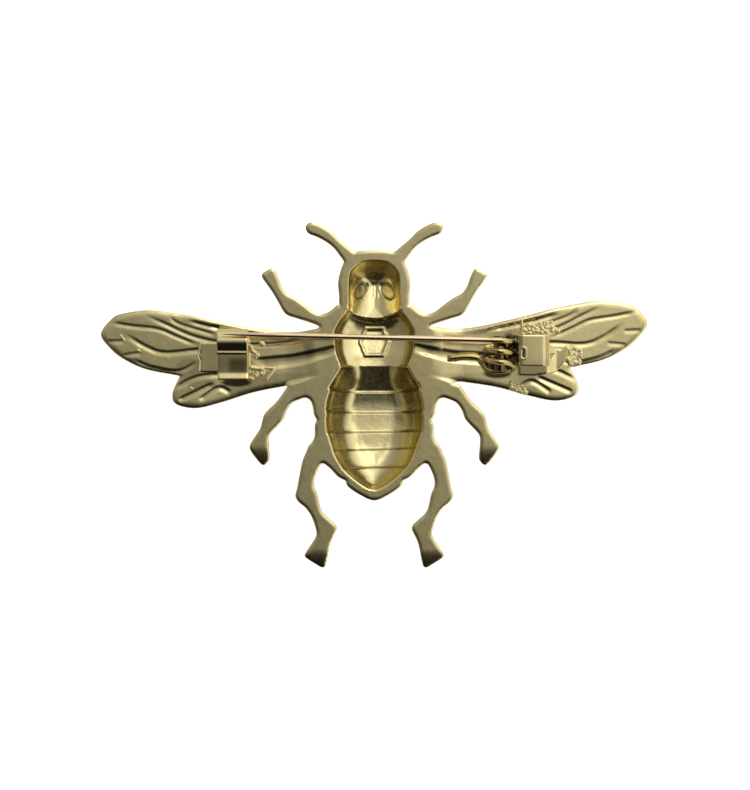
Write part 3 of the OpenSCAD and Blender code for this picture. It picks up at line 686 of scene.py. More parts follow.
def on_wing(points, side):
    """Points in shares of the wing as places in mm on one side."""
    flat = np.array(points, float) * [wing_reach * side, wing_chord] + [0, wing_seat_y]
    return turned(flat, wing_turn, wing_seat_y)


def wing_relief(points, grooves):
    """Grooves of both wings, and with the veins the raised bar along each leading edge."""
    relief = np.zeros(len(points))
    for side in (-1, 1):
        if grooves is veins:
            bar, _, share = distance(points, open_curve(on_wing(leading_bar, side)), 1.0)
            ends = smooth(0, bar_fades[0], share) * smooth(1, bar_fades[1], share)
            relief += bar_rise * bump(bar, bar_half) * ends
        for steep, easy, depth, path in grooves:
            _, left, share = distance(points, open_curve(on_wing(path, side)), groove_reach)
            up = left * side
            fall = np.where(up > 0, smooth(steep, 0, up), smooth(-easy, 0, up) ** easy_shape)
            near = (np.abs(left) < groove_reach) & (left != 0)
            ends = smooth(0, groove_fade, share) * smooth(1, 1 - groove_fade, share)
            relief -= np.where(near, depth * fall * ends, 0)
    return relief


# The wings sink from the rim's height over sink_from, outwards of the body. Their roots tilt
# towards the tail from root_from to root_to, and their outer parts lean and fall from lean_from.
sink_from = (6.0, 11.5)
root_from, root_to = (6.5, 9), (19, 12)
root_tilt = 0.03
root_fold = 1.5
root_limits = (-3, 2)
lean_from = (17, 23)
wing_lean = 0.02
wing_fall = 0.012
fall_from = 21
# Rounding of the back at its outer edges: drop and width in mm, on the wings twice and on the limbs
wing_rounds = [(0.04, 0.8), (0.05, 0.35)]
limb_round, limb_round_width = 0.045, 0.4
edge_bevel = 0.1
edge_bevel_drop = 0.05
bevel_from = (9, 7)
# Distances inwards of limb and rim over which the wing's plane rises to them, its veins fade and
# its own edge rounding fades
limb_step, rim_step = (0.05, -0.4), (0.1, -1.5)
limb_vein_fade, rim_vein_fade = (0.1, -0.5), (0.3, -0.4)
limb_round_fade, rim_round_fade = (0.1, -0.5), (0.0, -0.8)
off_wing = -0.05
# Feet of the middle and hind legs, whose ends curve down. Columns: least distance from the middle
# line, start and end of the curve, and its drop.
feet = [(12.0, -6.4, -8.6, 0.22), (6.0, -19.6, -22.0, 0.3)]


def deepest(points, loops, reach):
    """Distance inwards from the nearest of several loops."""
    return np.max([depth_inside(points, loop, reach) for loop in loops], axis=0)


def back(points):
    """Height of the casting's back in mm."""
    x, y = points.T
    out = np.abs(x)
    on_limb, on_rim = deepest(points, limbs, 2.4), deepest(points, rims, 2.4)
    on_wings = deepest(points, wings, 1.0)
    wing_plane = rim_z - (rim_z - wing_z) * smooth(*sink_from, out)
    fall = wing_lean * (y - wing_seat_y) + wing_fall * np.maximum(out - fall_from, 0)
    wing_plane -= smooth(*lean_from, out) * fall
    tilt = root_tilt * np.clip(y - wing_seat_y + root_fold, *root_limits)
    wing_plane -= tilt * smooth(*root_to, out) * smooth(*root_from, out)
    below_rim = smooth(*limb_step, on_limb) * smooth(*rim_step, on_rim)
    plane = rim_z - (rim_z - wing_plane) * below_rim
    plane = np.where(on_wings < off_wing, rim_z, plane)

    relief = wing_relief(points, veins)
    relief *= smooth(*limb_vein_fade, on_limb) * smooth(*rim_vein_fade, on_rim)
    relief += wing_relief(points, root_grooves)
    near_edge = depth_inside(points, outline, 2.0)
    on_plain_wing = smooth(*limb_round_fade, on_limb) * smooth(*rim_round_fade, on_rim)
    rounded = limb_round * (1 - smooth(0.0, limb_round_width, near_edge)) * (1 - on_plain_wing)
    for drop, width in wing_rounds:
        rounded += drop * (1 - smooth(0.0, width, near_edge)) * on_plain_wing
    for least_x, start, end, drop in feet:
        rounded += drop * np.clip((start - y) / (start - end), 0, 1) ** 2 * (out > least_x)

    nearest = depth_inside(points, dish_edge)
    bevel_drop = edge_bevel_drop * smooth(*bevel_from, y)
    bevel = bevel_drop * smooth(-edge_bevel, 0, nearest)
    in_dish = rim_z - bevel_drop - dishes(points)
    return np.where(nearest > 0, in_dish, plane + relief - rounded - bevel)


# Casting, shape of the front: it lies on the crest of the abdomen and on a flat hexagonal boss
limb_thickness = 1.5
wing_thickness = 1.3
boss_edge = 0.6
dome_thinning = 0.98
no_dome = 9.0


def front(points):
    """Height of the casting's front in mm."""
    rim_front, wing_front = rim_z - limb_thickness, wing_z - wing_thickness
    on_limb = deepest(points, limbs + rims, 1.0)
    plane = wing_front + (rim_front - wing_front) * smooth(-0.4, 0.1, on_limb)
    plane = plane + wing_relief(points, veins) * smooth(0.1, -0.6, on_limb)
    grown = dishes(points, wall)
    dome = np.where(grown > 0, rim_z - edge_bevel_drop - grown - wall * dome_thinning, no_dome)
    boss = hexagon_reach(*points.T) * hexagon_half[0] < hexagon_half[0] + boss_edge
    return np.maximum(np.where(boss, 0.0, np.minimum(plane, dome)), 0.0)


def surface(loops, creases, spacing, height):
    """Triangles inside the first loop and outside the others, with the open creases as edges.
    Also returns the places of each loop's points."""
    low, high = loops[0].min(0), loops[0].max(0)
    xs = np.arange(low[0], high[0], spacing)
    ys = np.arange(low[1], high[1], spacing * 0.866)
    grid_x, grid_y = np.meshgrid(xs, ys)
    grid_x[1::2] += spacing / 2
    grid = np.c_[grid_x.ravel(), grid_y.ravel()]
    grid = grid[depth_inside(grid, loops[0], 1.0) > spacing * 0.55]
    for hole in loops[1:]:
        grid = grid[depth_inside(grid, hole, 1.0) < -spacing * 0.55]
    for crease in creases:
        grid = grid[distance(grid, crease, 1.0)[0] > spacing * 0.5]
    flat = list(loops) + list(creases) + [grid]
    edges, first, starts = [], 0, []
    for line, closed in [(loop, True) for loop in loops] + [(crease, False) for crease in creases]:
        count = len(line)
        starts.append(first)
        edges += [(first + i, first + i + 1) for i in range(count - 1)]
        if closed:
            edges.append((first + count - 1, first))
        first += count
    corners = [Vector(p) for p in np.concatenate(flat)]
    border = [list(range(len(loops[0])))]
    found, _, triangles, sources, _, _ = delaunay_2d_cdt(corners, edges, border, 1, 1e-5)
    kept = np.array([p[:] for p in found])
    triangles = np.array([list(t) for t in triangles])
    for hole in loops[1:]:
        triangles = triangles[~inside(kept[triangles].mean(1), hole)]
    order = {old: new for new, olds in enumerate(sources) for old in olds}
    rings = [
        np.array([order[start + i] for i in range(len(loop))]) for start, loop in zip(starts, loops)
    ]
    return np.c_[kept, height(kept)], triangles, rings


def solid_between(loops, profile, creases, spacings, heights):
    """Closed body inside the first loop and outside the others. The profile of its side lists the
    distance drawn in from the loop and the share of the thickness below the top."""
    tops, lows = [[drawn_in(loop, end[0]) for loop in loops] for end in (profile[0], profile[-1])]
    top, top_faces, top_rings = surface(tops, creases, spacings[0], heights[0])
    low, low_faces, low_rings = surface(lows, [], spacings[1], heights[1])
    points, count = [top], len(top)
    sides = []
    for loop, top_ring, low_ring in zip(loops, top_rings, low_rings):
        top_z, low_z = top[top_ring, 2], low[low_ring, 2]
        rings = [top_ring]
        for by, share in profile[1:-1]:
            points.append(np.c_[drawn_in(loop, by), top_z + (low_z - top_z) * share])
            rings.append(np.arange(count, count + len(loop)))
            count += len(loop)
        sides.append((rings, low_ring))
    faces = top_faces.tolist() + (low_faces[:, ::-1] + count).tolist()
    points.append(low)
    for rings, low_ring in sides:
        rings.append(low_ring + count)
        for upper, lower in zip(rings, rings[1:]):
            quads = np.c_[upper, lower, np.roll(lower, -1), np.roll(upper, -1)]
            faces += quads.tolist()
    return np.concatenate(points), faces


def shell(name, points, faces, material):
    """A mesh object from points in mm, with smooth faces."""
    mesh = bpy.data.meshes.new(name)
    mesh.from_pydata((np.asarray(points) * mm).tolist(), [], faces)
    mesh.materials.append(material)
    mesh.shade_smooth()
    made = bpy.data.objects.new(name, mesh)
    bpy.context.scene.collection.objects.link(made)
    return made


def paint(made, name, values):
    """Stores one value a point, for the material."""
    layer = made.data.attributes.new(name, "FLOAT", "POINT")
    layer.data.foreach_set("value", np.asarray(values, np.float32))


# Material of the casting: zinc alloy, tumbled, then plated in pale gold. Its flats are polished and
# mirror the room. Its recesses keep a fine cast grain that blurs what they mirror. Recesses and
# steep walls are painted a browner shade, and lines and spots are painted a dark shade and shadow.
cast_grain_size = 0.4 * mm
cast_grain_depth = 0.03 * mm
ripple_size = 1.3 * mm
ripple_depth = 0.06 * mm
cloud_size = 4 * mm
pale_gold = ("#e9d89b", "#f1e2a9")
shade_gold = "#a99e70"
dark_shade_brown = "#3c3018"
# On the flats, and added in the deepest recess
roughness = (0.1, 0.18)
grain_strength, ripple_strength = 0.1, 0.15
recess_roughness, recess_grain, recess_ripple = 0.1, 0.15, 0.2

gold = bpy.data.materials.new("pale_gold_plated_casting")
gold.use_nodes = True
plating = gold.node_tree
plated = plating.nodes["Principled BSDF"]
plated.inputs["Metallic"].default_value = 1.0
place = add_node(plating, "ShaderNodeTexCoord").outputs["Object"]
# Attributes read here: the depth of the recess, a browner painted shade, and a dark painted shade
# and shadow
recess, film, flux = [
    add_node(plating, "ShaderNodeAttribute", attribute_name=name).outputs["Fac"]
    for name in ("recess", "film", "flux")
]
noises = [
    add_node(plating, "ShaderNodeTexNoise", {"Vector": place, "Scale": 1 / size, "Detail": detail})
    for size, detail in ((cast_grain_size, 4.0), (cloud_size, 3.0), (ripple_size, 2.0))
]
grain, cloud, ripple = [noise.outputs["Fac"] for noise in noises]
tint = add_node(plating, "ShaderNodeValToRGB", {0: cloud})
set_ramp(tint, [(0.3, linear(pale_gold[0])), (0.7, linear(pale_gold[1]))])
colour = tint.outputs[0]
for share, layer in ((film, shade_gold), (flux, dark_shade_brown)):
    layered = {0: share, 1: colour, 2: linear(layer)}
    colour = add_node(plating, "ShaderNodeMixRGB", layered).outputs[0]
plating.links.new(colour, plated.inputs["Base Color"])


def with_recess(added, base):
    """A value that grows from its base with the depth of the recess."""
    inputs = {0: recess, 1: added, 2: base}
    return add_node(plating, "ShaderNodeMath", inputs, operation="MULTIPLY_ADD").outputs[0]


polished = {"Value": grain, "From Min": 0.3, "From Max": 0.7}
polished |= {"To Min": roughness[0], "To Max": roughness[1]}
polish = add_node(plating, "ShaderNodeMapRange", polished)
plating.links.new(with_recess(recess_roughness, polish.outputs[0]), plated.inputs["Roughness"])
rippled_by = with_recess(recess_ripple, ripple_strength)
ripples = {"Height": ripple, "Strength": rippled_by, "Distance": ripple_depth}
rippled = add_node(plating, "ShaderNodeBump", ripples).outputs[0]
pitted_by = with_recess(recess_grain, grain_strength)
pits = {"Height": grain, "Strength": pitted_by, "Distance": cast_grain_depth, "Normal": rippled}
pitted = add_node(plating, "ShaderNodeBump", pits).outputs[0]
plating.links.new(pitted, plated.inputs["Normal"])

# Side of the casting. Columns: distance drawn in from the outline, share of the thickness.
side_profile = [
    (0.08, 0.0), (0.04, 0.02), (0.01, 0.07), (0.0, 0.2), (0.0, 0.45), (0.05, 0.7), (0.14, 0.88),
    (0.3, 1.0),
]
casting_spacings = (0.16, 0.28)
bevel_lines = [dish_edge, drawn_in(dish_edge, -edge_bevel), drawn_in(dish_edge, edge_bevel / 2)]
creases = bevel_lines + [waist_ridge, neck_lip]
casting_points, casting_faces = solid_between(
    [outline], side_profile, creases, casting_spacings, (back, front)
)
bee_casting = shell("bee_casting", casting_points, casting_faces, gold)

# Paint: the depth of each point in a recess, and painted shade, a little in every recess and more
# on the steep walls below the neck
recess_from, full_recess, flat_recess = 0.15, 2.5, 0.2
steep, wall_from, neck_fade = (0.93, 0.72), (0.1, 0.7), (9.5, 10.5)
recess_shade, wall_shade = 0.1, 0.7
flats = casting_points[:, :2]
across_at, along_at = flats.T
in_dish = depth_inside(flats, dish_edge) > 0
below = rim_z - recess_from - casting_points[:, 2]
in_recess = np.where(in_dish, np.clip(below / full_recess, 0, 1), np.clip(below, 0, flat_recess))
paint(bee_casting, "recess", in_recess)
facing = np.zeros(len(casting_points) * 3, np.float32)
bee_casting.data.vertices.foreach_get("normal", facing)
steep_wall = smooth(*steep, facing.reshape(-1, 3)[:, 2]) * in_dish * smooth(*wall_from, below)
below_neck = 1 - smooth(*neck_fade, along_at)
paint(bee_casting, "film", recess_shade * in_recess + wall_shade * below_neck * steep_wall)

# Paint: dark painted shade in the veins, grooves, eye rings, hexagon lines and band lines, each
# with its own strength
groove_depth = 0.05


def in_grooves(grooves):
    return np.clip(-wing_relief(flats, grooves) / groove_depth, 0, 1) * ~in_dish


abdomen_share = bowl(flats, along_at, *abdomen_dish)[2]
on_abdomen = in_dish * (along_at < waist_ridge_y)
frame_reach = hexagon_reach(across_at, along_at)
hexagon_line = np.clip(sum(bump(frame_reach - line, 0.06) for line in (1.0, 0.77)), 0, 1)
darkened = [
    0.2 * in_grooves(veins),
    0.4 * in_grooves(root_grooves[1:]),
    0.8 * bump(eye_ring(across_at, along_at) - 1.0, 0.24) * in_dish,
    0.6 * hexagon_line * in_dish,
]
for place in band_places(across_at, along_at, abdomen_share):
    darkened.append(0.55 * bump(place + 0.06, 0.2) * on_abdomen)
# Spots of painted shadow by the coil, by the catch's foot and on the left hind wing. Columns:
# middle (across, along), half sizes and strength.
shadow_spots = [
    (17.2, 5.4, 1.4, 3.0, 0.95), (15.6, 4.4, 2.6, 1.7, 0.95), (15.7, 2.75, 2.1, 0.75, 0.95),
    (-17.6, 1.6, 2.3, 0.65, 0.95), (-23.4, 3.6, 2.2, 1.3, 0.3), (-22.2, 1.8, 2.4, 1.2, 0.25),
]
for x, y, half_x, half_y, strength in shadow_spots:
    reach = np.hypot((across_at - x) / half_x, (along_at - y) / half_y)
    darkened.append(strength * smooth(1.0, 0.65, reach))
paint(bee_casting, "flux", np.max(darkened, axis=0))
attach(bee_casting, "bee")
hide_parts("bee_body")


# Catch: a brass strip with a flat foot on the left wing and an open roll for the pin's point. Its
# free end is turned up a little, and a thin pad beside it takes the solder.
catch_left = -19.98
catch_width = 3.95
strip = 0.45
roll_radius = 1.65
roll_middle_y = 6.76
roll_from, roll_to, roll_step = -85, 175, 5
catch_foot_y = 1.9
lip_rise = 0.2
lip_run = 0.9
lip_steps, lip_shape = 8, 1.3
foot_slope = 0.1
foot_gap, foot_step = 0.02, 0.25
slope_up, slope_down = (2.4, 6.0), (6.7, 6.0)
edge_rounding = 0.1
sheet_spacing = 0.12
catch_rings, pad_rings = (0.16, 0.2), (0.2, 0.4)
pad_top, pad_root, pad_thick = wing_z + 0.24, wing_z - 0.3, 0.5


def metal(name, colour, shade_colour, roughness, grain_mm, grain_height, strength):
    """A plated metal with a painted shade where its attribute is painted, and a fine relief of the
    given grain and height in mm."""
    made = bpy.data.materials.new(name)
    made.use_nodes = True
    tree = made.node_tree
    shader = tree.nodes["Principled BSDF"]
    shader.inputs["Metallic"].default_value = 1.0
    at = add_node(tree, "ShaderNodeTexCoord").outputs["Object"]
    noise = {"Vector": at, "Scale": 1 / (grain_mm * mm), "Detail": 3.0}
    relief = add_node(tree, "ShaderNodeTexNoise", noise).outputs["Fac"]
    shade = add_node(tree, "ShaderNodeValToRGB", {0: relief})
    set_ramp(shade, [(0.3, [c * 0.9 for c in linear(colour)[:3]] + [1]), (0.7, linear(colour))])
    painted = add_node(tree, "ShaderNodeAttribute", attribute_name="film").outputs["Fac"]
    mixed = {0: painted, 1: shade.outputs[0], 2: linear(shade_colour)}
    shade_mixed = add_node(tree, "ShaderNodeMixRGB", mixed)
    worn = {"Value": relief, "From Min": 0.3, "From Max": 0.7}
    worn |= {"To Min": roughness * 0.8, "To Max": roughness * 1.3}
    wear = add_node(tree, "ShaderNodeMapRange", worn)
    bumps = {"Height": relief, "Strength": strength, "Distance": grain_height * mm}
    raised = add_node(tree, "ShaderNodeBump", bumps)
    for node, socket in ((shade_mixed, "Base Color"), (wear, "Roughness"), (raised, "Normal")):
        tree.links.new(node.outputs[0], shader.inputs[socket])
    return made


def along_path(path):
    """Bends a flat sheet along a path of (across, up): place along it, place across, height."""
    path = np.asarray(path, float)
    run = np.linalg.norm(np.diff(path, axis=0), axis=1)
    at = np.r_[0, np.cumsum(run)]
    ahead = np.gradient(path, at, axis=0)
    ahead /= np.linalg.norm(ahead, axis=1)[:, None]

    def bent(points):
        s, w, h = points.T
        a, z = [np.interp(s, at, path[:, i]) for i in (0, 1)]
        forward, rise = [np.interp(s, at, ahead[:, i]) for i in (0, 1)]
        return np.c_[a - rise * h, w, z + forward * h]

    return bent, at[-1]


def rectangle(low, high, spacing):
    """Evenly spaced counter-clockwise loop round a rectangle."""
    (x0, y0), (x1, y1) = low, high
    return respaced(np.array([(x0, y0), (x1, y0), (x1, y1), (x0, y1)], float), spacing)


def sheet_profile(thick, rounding):
    """Side of a cut sheet with rounded edges, for solid_between."""
    inset, share = rounding * 0.3, rounding / thick
    lower = [(rounding, 0), (inset, share * 0.3), (0, share)]
    return lower + [(0, 1 - share), (inset, 1 - share * 0.3), (rounding, 1)]


def level(z):
    return lambda points: np.full(len(points), float(z))


def circle_point(middle, radius, degrees):
    """Point of a circle, from the right-hand side on and counter-clockwise."""
    angle = math.radians(degrees)
    return middle[0] + radius * math.cos(angle), middle[1] + radius * math.sin(angle)


lip = [
    (catch_foot_y + lip_run * share, wing_z + foot_gap + lip_rise * (1 - share) ** lip_shape)
    for share in np.arange(lip_steps) / lip_steps
]
foot_line = [
    (y, wing_z + foot_gap + foot_slope * smooth(*slope_up, y) * smooth(*slope_down, y))
    for y in np.arange(catch_foot_y + lip_run, roll_middle_y, foot_step)
]
roll_middle = (roll_middle_y, wing_z + roll_radius)
roll = [circle_point(roll_middle, roll_radius, a) for a in range(roll_from, roll_to + 1, roll_step)]
bend_catch, catch_length = along_path(lip + foot_line + roll)
catch_loop = rectangle((0, -catch_left - catch_width), (catch_length, -catch_left), sheet_spacing)
strip_profile = sheet_profile(strip, edge_rounding)
flat_points, catch_faces = solid_between(
    [catch_loop], strip_profile, [], catch_rings, (level(strip), level(0))
)
bent_points = bend_catch(flat_points)
catch_points = np.c_[-bent_points[:, 1], bent_points[:, 0], bent_points[:, 2]]

pad_outline = [
    (-19.7, 6.8, 1), (-22.2, 6.7, 1), (-22.3, 5.9), (-22.3, 5.2), (-22.55, 4.85), (-22.2, 4.4),
    (-22.35, 3.7), (-22.2, 2.9, 1), (-19.7, 2.85, 1),
]
pad_loop = even_loop(pad_outline, sheet_spacing)
pad_profile = sheet_profile(pad_thick, edge_rounding)
pad_points, pad_faces = solid_between(
    [pad_loop], pad_profile, [], pad_rings, (level(pad_top), level(pad_root))
)
# The dark brown is the colour of its painted shade and shadow
rolled_brass = metal("rolled_brass_plated_pale_gold", "#ecdba0", "#3c3018", 0.1, 2.0, 0.02, 0.2)


def joined(*parts):
    """Several (points, faces) as one."""
    all_faces, first = [], 0
    for points, faces in parts:
        all_faces += [[i + first for i in face] for face in faces]
        first += len(points)
    return np.concatenate([points for points, _ in parts]), all_faces


catch_all = joined((catch_points, catch_faces), (pad_points, pad_faces))
catch = shell("catch", *catch_all, rolled_brass)
# Painted shadow on the foot, below the roll
shadow_x, shadow_y = (-18.9, -15.9), (2.5, 5.0)
shadow_edge = 0.8
painted_shadow = np.full(len(catch_points), 0.65)
for place, (low, high) in zip(catch_points[:, :2].T, (shadow_x, shadow_y)):
    painted_shadow *= smooth(low, low + shadow_edge, place) * smooth(high, high - shadow_edge, place)
paint(catch, "film", np.r_[painted_shadow, np.zeros(len(pad_points))])
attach(catch, "bee")
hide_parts("bee_body")


# Hinge strap: a bent brass strap on a flat foot, soldered to the right wing. A slit lets the strap
# grip the stud that runs through the wire's coil.
strap_left = 18.1
strap_right = 22.2
strap_low_y = 3.66
strap_high_y = 7.62
strap_top = 8.8
strap_dome = 120
strap_tilt = 0.015
left_bend = 0.65
right_bend = 1.0
strap_foot = wing_z - 0.1
strap_step, bend_step = 0.3, 9
strap_rings, foot_rings = (0.12, 0.2), (0.18, 0.4)
slit_loop = [(0.0, 4.75), (0.3, 4.7), (0.3, 5.85), (0.0, 5.9)]
slit_spacing = 0.1
burr_height, burr_width = 0.025, 0.2
foot_thick, foot_step_up, foot_fall = 0.8, 0.5, 0.02
foot_low, foot_root = wing_z + 0.45, wing_z - 0.25
foot_step_x, foot_fall_x, foot_fall_y = (23.4, 21.8), (24.0, 22.0), 4.4
stud_radius, stud_edge, stud_sides = 0.8, 0.12, 28
stud_ends = (3.0, 7.5)
stud_x, stud_z = 15.94, 7.45

inner_top = strap_top - strip
left_inner = left_bend - strip
right_inner = right_bend - strip
left_middle = (strap_left + strip + left_inner, inner_top - left_inner)
right_middle = (strap_right - strip - right_inner, inner_top - right_inner)
strap_path = [(strap_left + strip, z) for z in np.arange(strap_foot, left_middle[1], strap_step)]
strap_path += [circle_point(left_middle, left_inner, a) for a in range(180, 89, -bend_step)]
strap_path += [circle_point(right_middle, right_inner, a) for a in range(90, -1, -bend_step)]
right_fall = np.arange(right_middle[1] - strap_step, strap_foot, -strap_step)
strap_path += [(strap_right - strip, z) for z in right_fall]
bend_strap, strap_length = along_path(strap_path)
top_start = left_middle[1] - strap_foot + left_inner * math.pi / 2
strap_loop = rectangle((0, strap_low_y), (strap_length, strap_high_y), sheet_spacing)
slit = respaced(np.array(slit_loop, float) + [top_start, 0], slit_spacing)[::-1]


def strap_top_face(points):
    """Top of the strap, with a burr pushed up round the slit."""
    away = distance(points, np.r_[slit, slit[:1]], 0.6)[0]
    return strip + burr_height * bump(away - burr_width / 2, burr_width)


flat_points, strap_faces = solid_between(
    [strap_loop, slit], strip_profile, [], strap_rings, (strap_top_face, level(0))
)
strap_points = bend_strap(flat_points)
strap_middle = (strap_left + strap_right) / 2
raised = smooth(strap_foot + 1, strap_top - 1, strap_points[:, 2])
dome_fall = (strap_points[:, 0] - strap_middle + 0.5) ** 2 / (2 * strap_dome)
strap_points[:, 2] -= raised * (dome_fall + strap_tilt * (strap_points[:, 1] - strap_low_y))

foot_outline = [
    (18.35, 2.5, 1), (20.4, 2.46), (22.4, 2.8), (23.4, 3.2), (24.3, 4.2), (24.65, 5.5),
    (24.55, 6.3, 1), (23.8, 5.85), (22.8, 6.1), (22.0, 7.0, 1), (18.35, 7.2, 1),
]
foot_loop = even_loop(foot_outline, sheet_spacing)
foot_hole = respaced(np.array([(22.4, 5.25), (22.9, 5.3), (22.52, 4.55)]), 0.08)


def foot_top(points):
    """Top of the foot: a step up towards the strap, and a fall towards the hind side."""
    x, y = points.T
    step = foot_step_up * smooth(*foot_step_x, x)
    return foot_low + step - foot_fall * (foot_fall_y - y) * smooth(*foot_fall_x, x)


foot_points, foot_faces = solid_between(
    [foot_loop, foot_hole], sheet_profile(foot_thick, edge_rounding), [], foot_rings,
    (foot_top, level(foot_root)),
)
stud_low, stud_high = stud_ends
stud_rows = [
    (stud_low, stud_radius - stud_edge), (stud_low + stud_edge, stud_radius),
    (stud_high - stud_edge, stud_radius), (stud_high, stud_radius - stud_edge),
]
stud_turn = 2 * np.pi * np.arange(stud_sides) / stud_sides
stud_points = [
    (stud_x + r * math.cos(turn), y, stud_z + r * math.sin(turn))
    for y, r in stud_rows for turn in stud_turn
]
side = np.arange(stud_sides)
next_side = np.roll(side, -1)
last_row = len(stud_points) - stud_sides
stud_faces = []
for row in range(0, last_row, stud_sides):
    above = row + stud_sides
    stud_faces += np.c_[row + side, above + side, above + next_side, row + next_side].tolist()
low_middle, high_middle = last_row + stud_sides, last_row + stud_sides + 1
stud_points += [(stud_x, y, stud_z) for y in stud_ends]
stud_faces += [(low_middle, k, next_k) for k, next_k in zip(side, next_side)]
stud_faces += [(high_middle, last_row + next_k, last_row + k) for k, next_k in zip(side, next_side)]
strap_all = joined(
    (strap_points, strap_faces), (foot_points, foot_faces), (stud_points, stud_faces)
)
hinge_strap = shell("hinge_strap", *strap_all, rolled_brass)
# Painted shade darkens the stud, the strap's left side and low end, and the foot below it
left_shade = 0.8 * smooth(strap_left + 0.25, strap_left + 0.1, strap_points[:, 0])
low_shade = 0.2 * smooth(strap_low_y + 1.2, strap_low_y, strap_points[:, 1])
foot_shade = 0.18 * smooth(22.4, 21.6, foot_points[:, 0])
stud_shade = np.full(len(stud_points), 0.85)
paint(hinge_strap, "film", np.r_[np.maximum(left_shade, low_shade), foot_shade, stud_shade])
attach(hinge_strap, "bee")
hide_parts("bee_body")


# Pin: one hard-drawn spring wire. Its stem is ground to a point, its coil turns round the stud, and
# its last turn leans over and ends in a short tail on the wing.
wire_radius = 0.35
coil_radius = 1.7
coil_pitch = 1.38
stem_top = np.array([15.94, 6.92, 9.15])
stem_direction = np.array([-0.99971, 0.02234, -0.00916])
stem_length = 35.5
shank_length = 27
point_length, point_shape, tip_radius = 5, 0.8, 0.03
turn_step, whole_turns, all_turns = 12, 720, 900
last_lean = 1.2
tail_z = wing_z + wire_radius + 0.1
tail = [(14.9, 3.0), (14.15, 3.5), (13.75, 4.25), (13.1, 4.78), (11.6, 4.9), (9.45, 4.72)]
wire_sides = 24

point_places = np.linspace(stem_length - 0.6, stem_length - point_length, 8)
stem_places = np.r_[
    stem_length, stem_length - 0.15, point_places, np.linspace(shank_length, 0, 28)
]
tapered = np.clip((stem_length - stem_places) / point_length, 0.0, 1) ** point_shape
stem_radii = np.maximum(wire_radius * tapered, tip_radius)
stem_points = stem_top + stem_direction * stem_places[:, None]
turns = np.arange(turn_step, all_turns + 1, turn_step)
last_half = np.radians(np.clip(turns - whole_turns, 0, 180))
coil_points = np.c_[
    stem_top[0] + coil_radius * np.sin(np.radians(turns)),
    stem_top[1] - coil_pitch * np.minimum(turns, whole_turns) / 360
    - last_lean * (1 - np.cos(last_half)) / 2,
    stem_top[2] - coil_radius + coil_radius * np.cos(np.radians(turns)),
]
tail_path = open_curve([tuple(coil_points[-1][:2])] + tail, 5)[1:]
tail_points = np.c_[tail_path, np.full(len(tail_path), tail_z)]
wire_path = np.r_[stem_points, coil_points, tail_points]
wire_radii = np.r_[stem_radii, np.full(len(coil_points) + len(tail_points), wire_radius)]


def tube(path, radii, sides):
    """Closed tube along a path, without twist."""
    ahead = np.gradient(path, axis=0)
    ahead /= np.linalg.norm(ahead, axis=1)[:, None]
    side = np.cross(ahead[0], [0, 0, 1.0])
    turn = 2 * np.pi * np.arange(sides)[:, None] / sides
    rings = []
    for point, direction, radius in zip(path, ahead, radii):
        side = side - direction * (side @ direction)
        side /= np.linalg.norm(side)
        up = np.cross(side, direction)
        rings.append(point + radius * (np.cos(turn) * side + np.sin(turn) * up))
    k = np.arange(sides)
    next_k = np.roll(k, -1)
    last_row = (len(path) - 1) * sides
    faces = []
    for row in range(0, last_row, sides):
        faces += np.c_[row + k, row + next_k, row + sides + next_k, row + sides + k].tolist()
    first = len(path) * sides
    faces += [[first, (i + 1) % sides, i] for i in range(sides)]
    faces += [[first + 1, last_row + i, last_row + (i + 1) % sides] for i in range(sides)]
    return np.concatenate(rings + [path[:1], path[-1:]]), faces


wire_points, wire_faces = tube(wire_path, wire_radii, wire_sides)
# The olive gold is the colour of the wire's painted shade
drawn_wire = metal(
    "drawn_spring_wire_plated_rose_gold", "#f8ddb4", "#c9b678", 0.15, 1.5, 0.01, 0.1
)
pin_wire = shell("pin_wire", wire_points, wire_faces, drawn_wire)
# The coil and the low part by the tail are painted a darker olive gold as shade, which fades out
# along the stem
wire_shade_fade, wire_shade_top, wire_shade_y = (13.0, 15.5), 8, 6
wire_x, wire_y, wire_height = wire_points.T
on_tail = (wire_height < wire_shade_top) * (wire_y < wire_shade_y)
paint(pin_wire, "film", smooth(*wire_shade_fade, wire_x) + on_tail)
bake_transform(pin_wire)
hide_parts("pin_stem", "pin_coil")


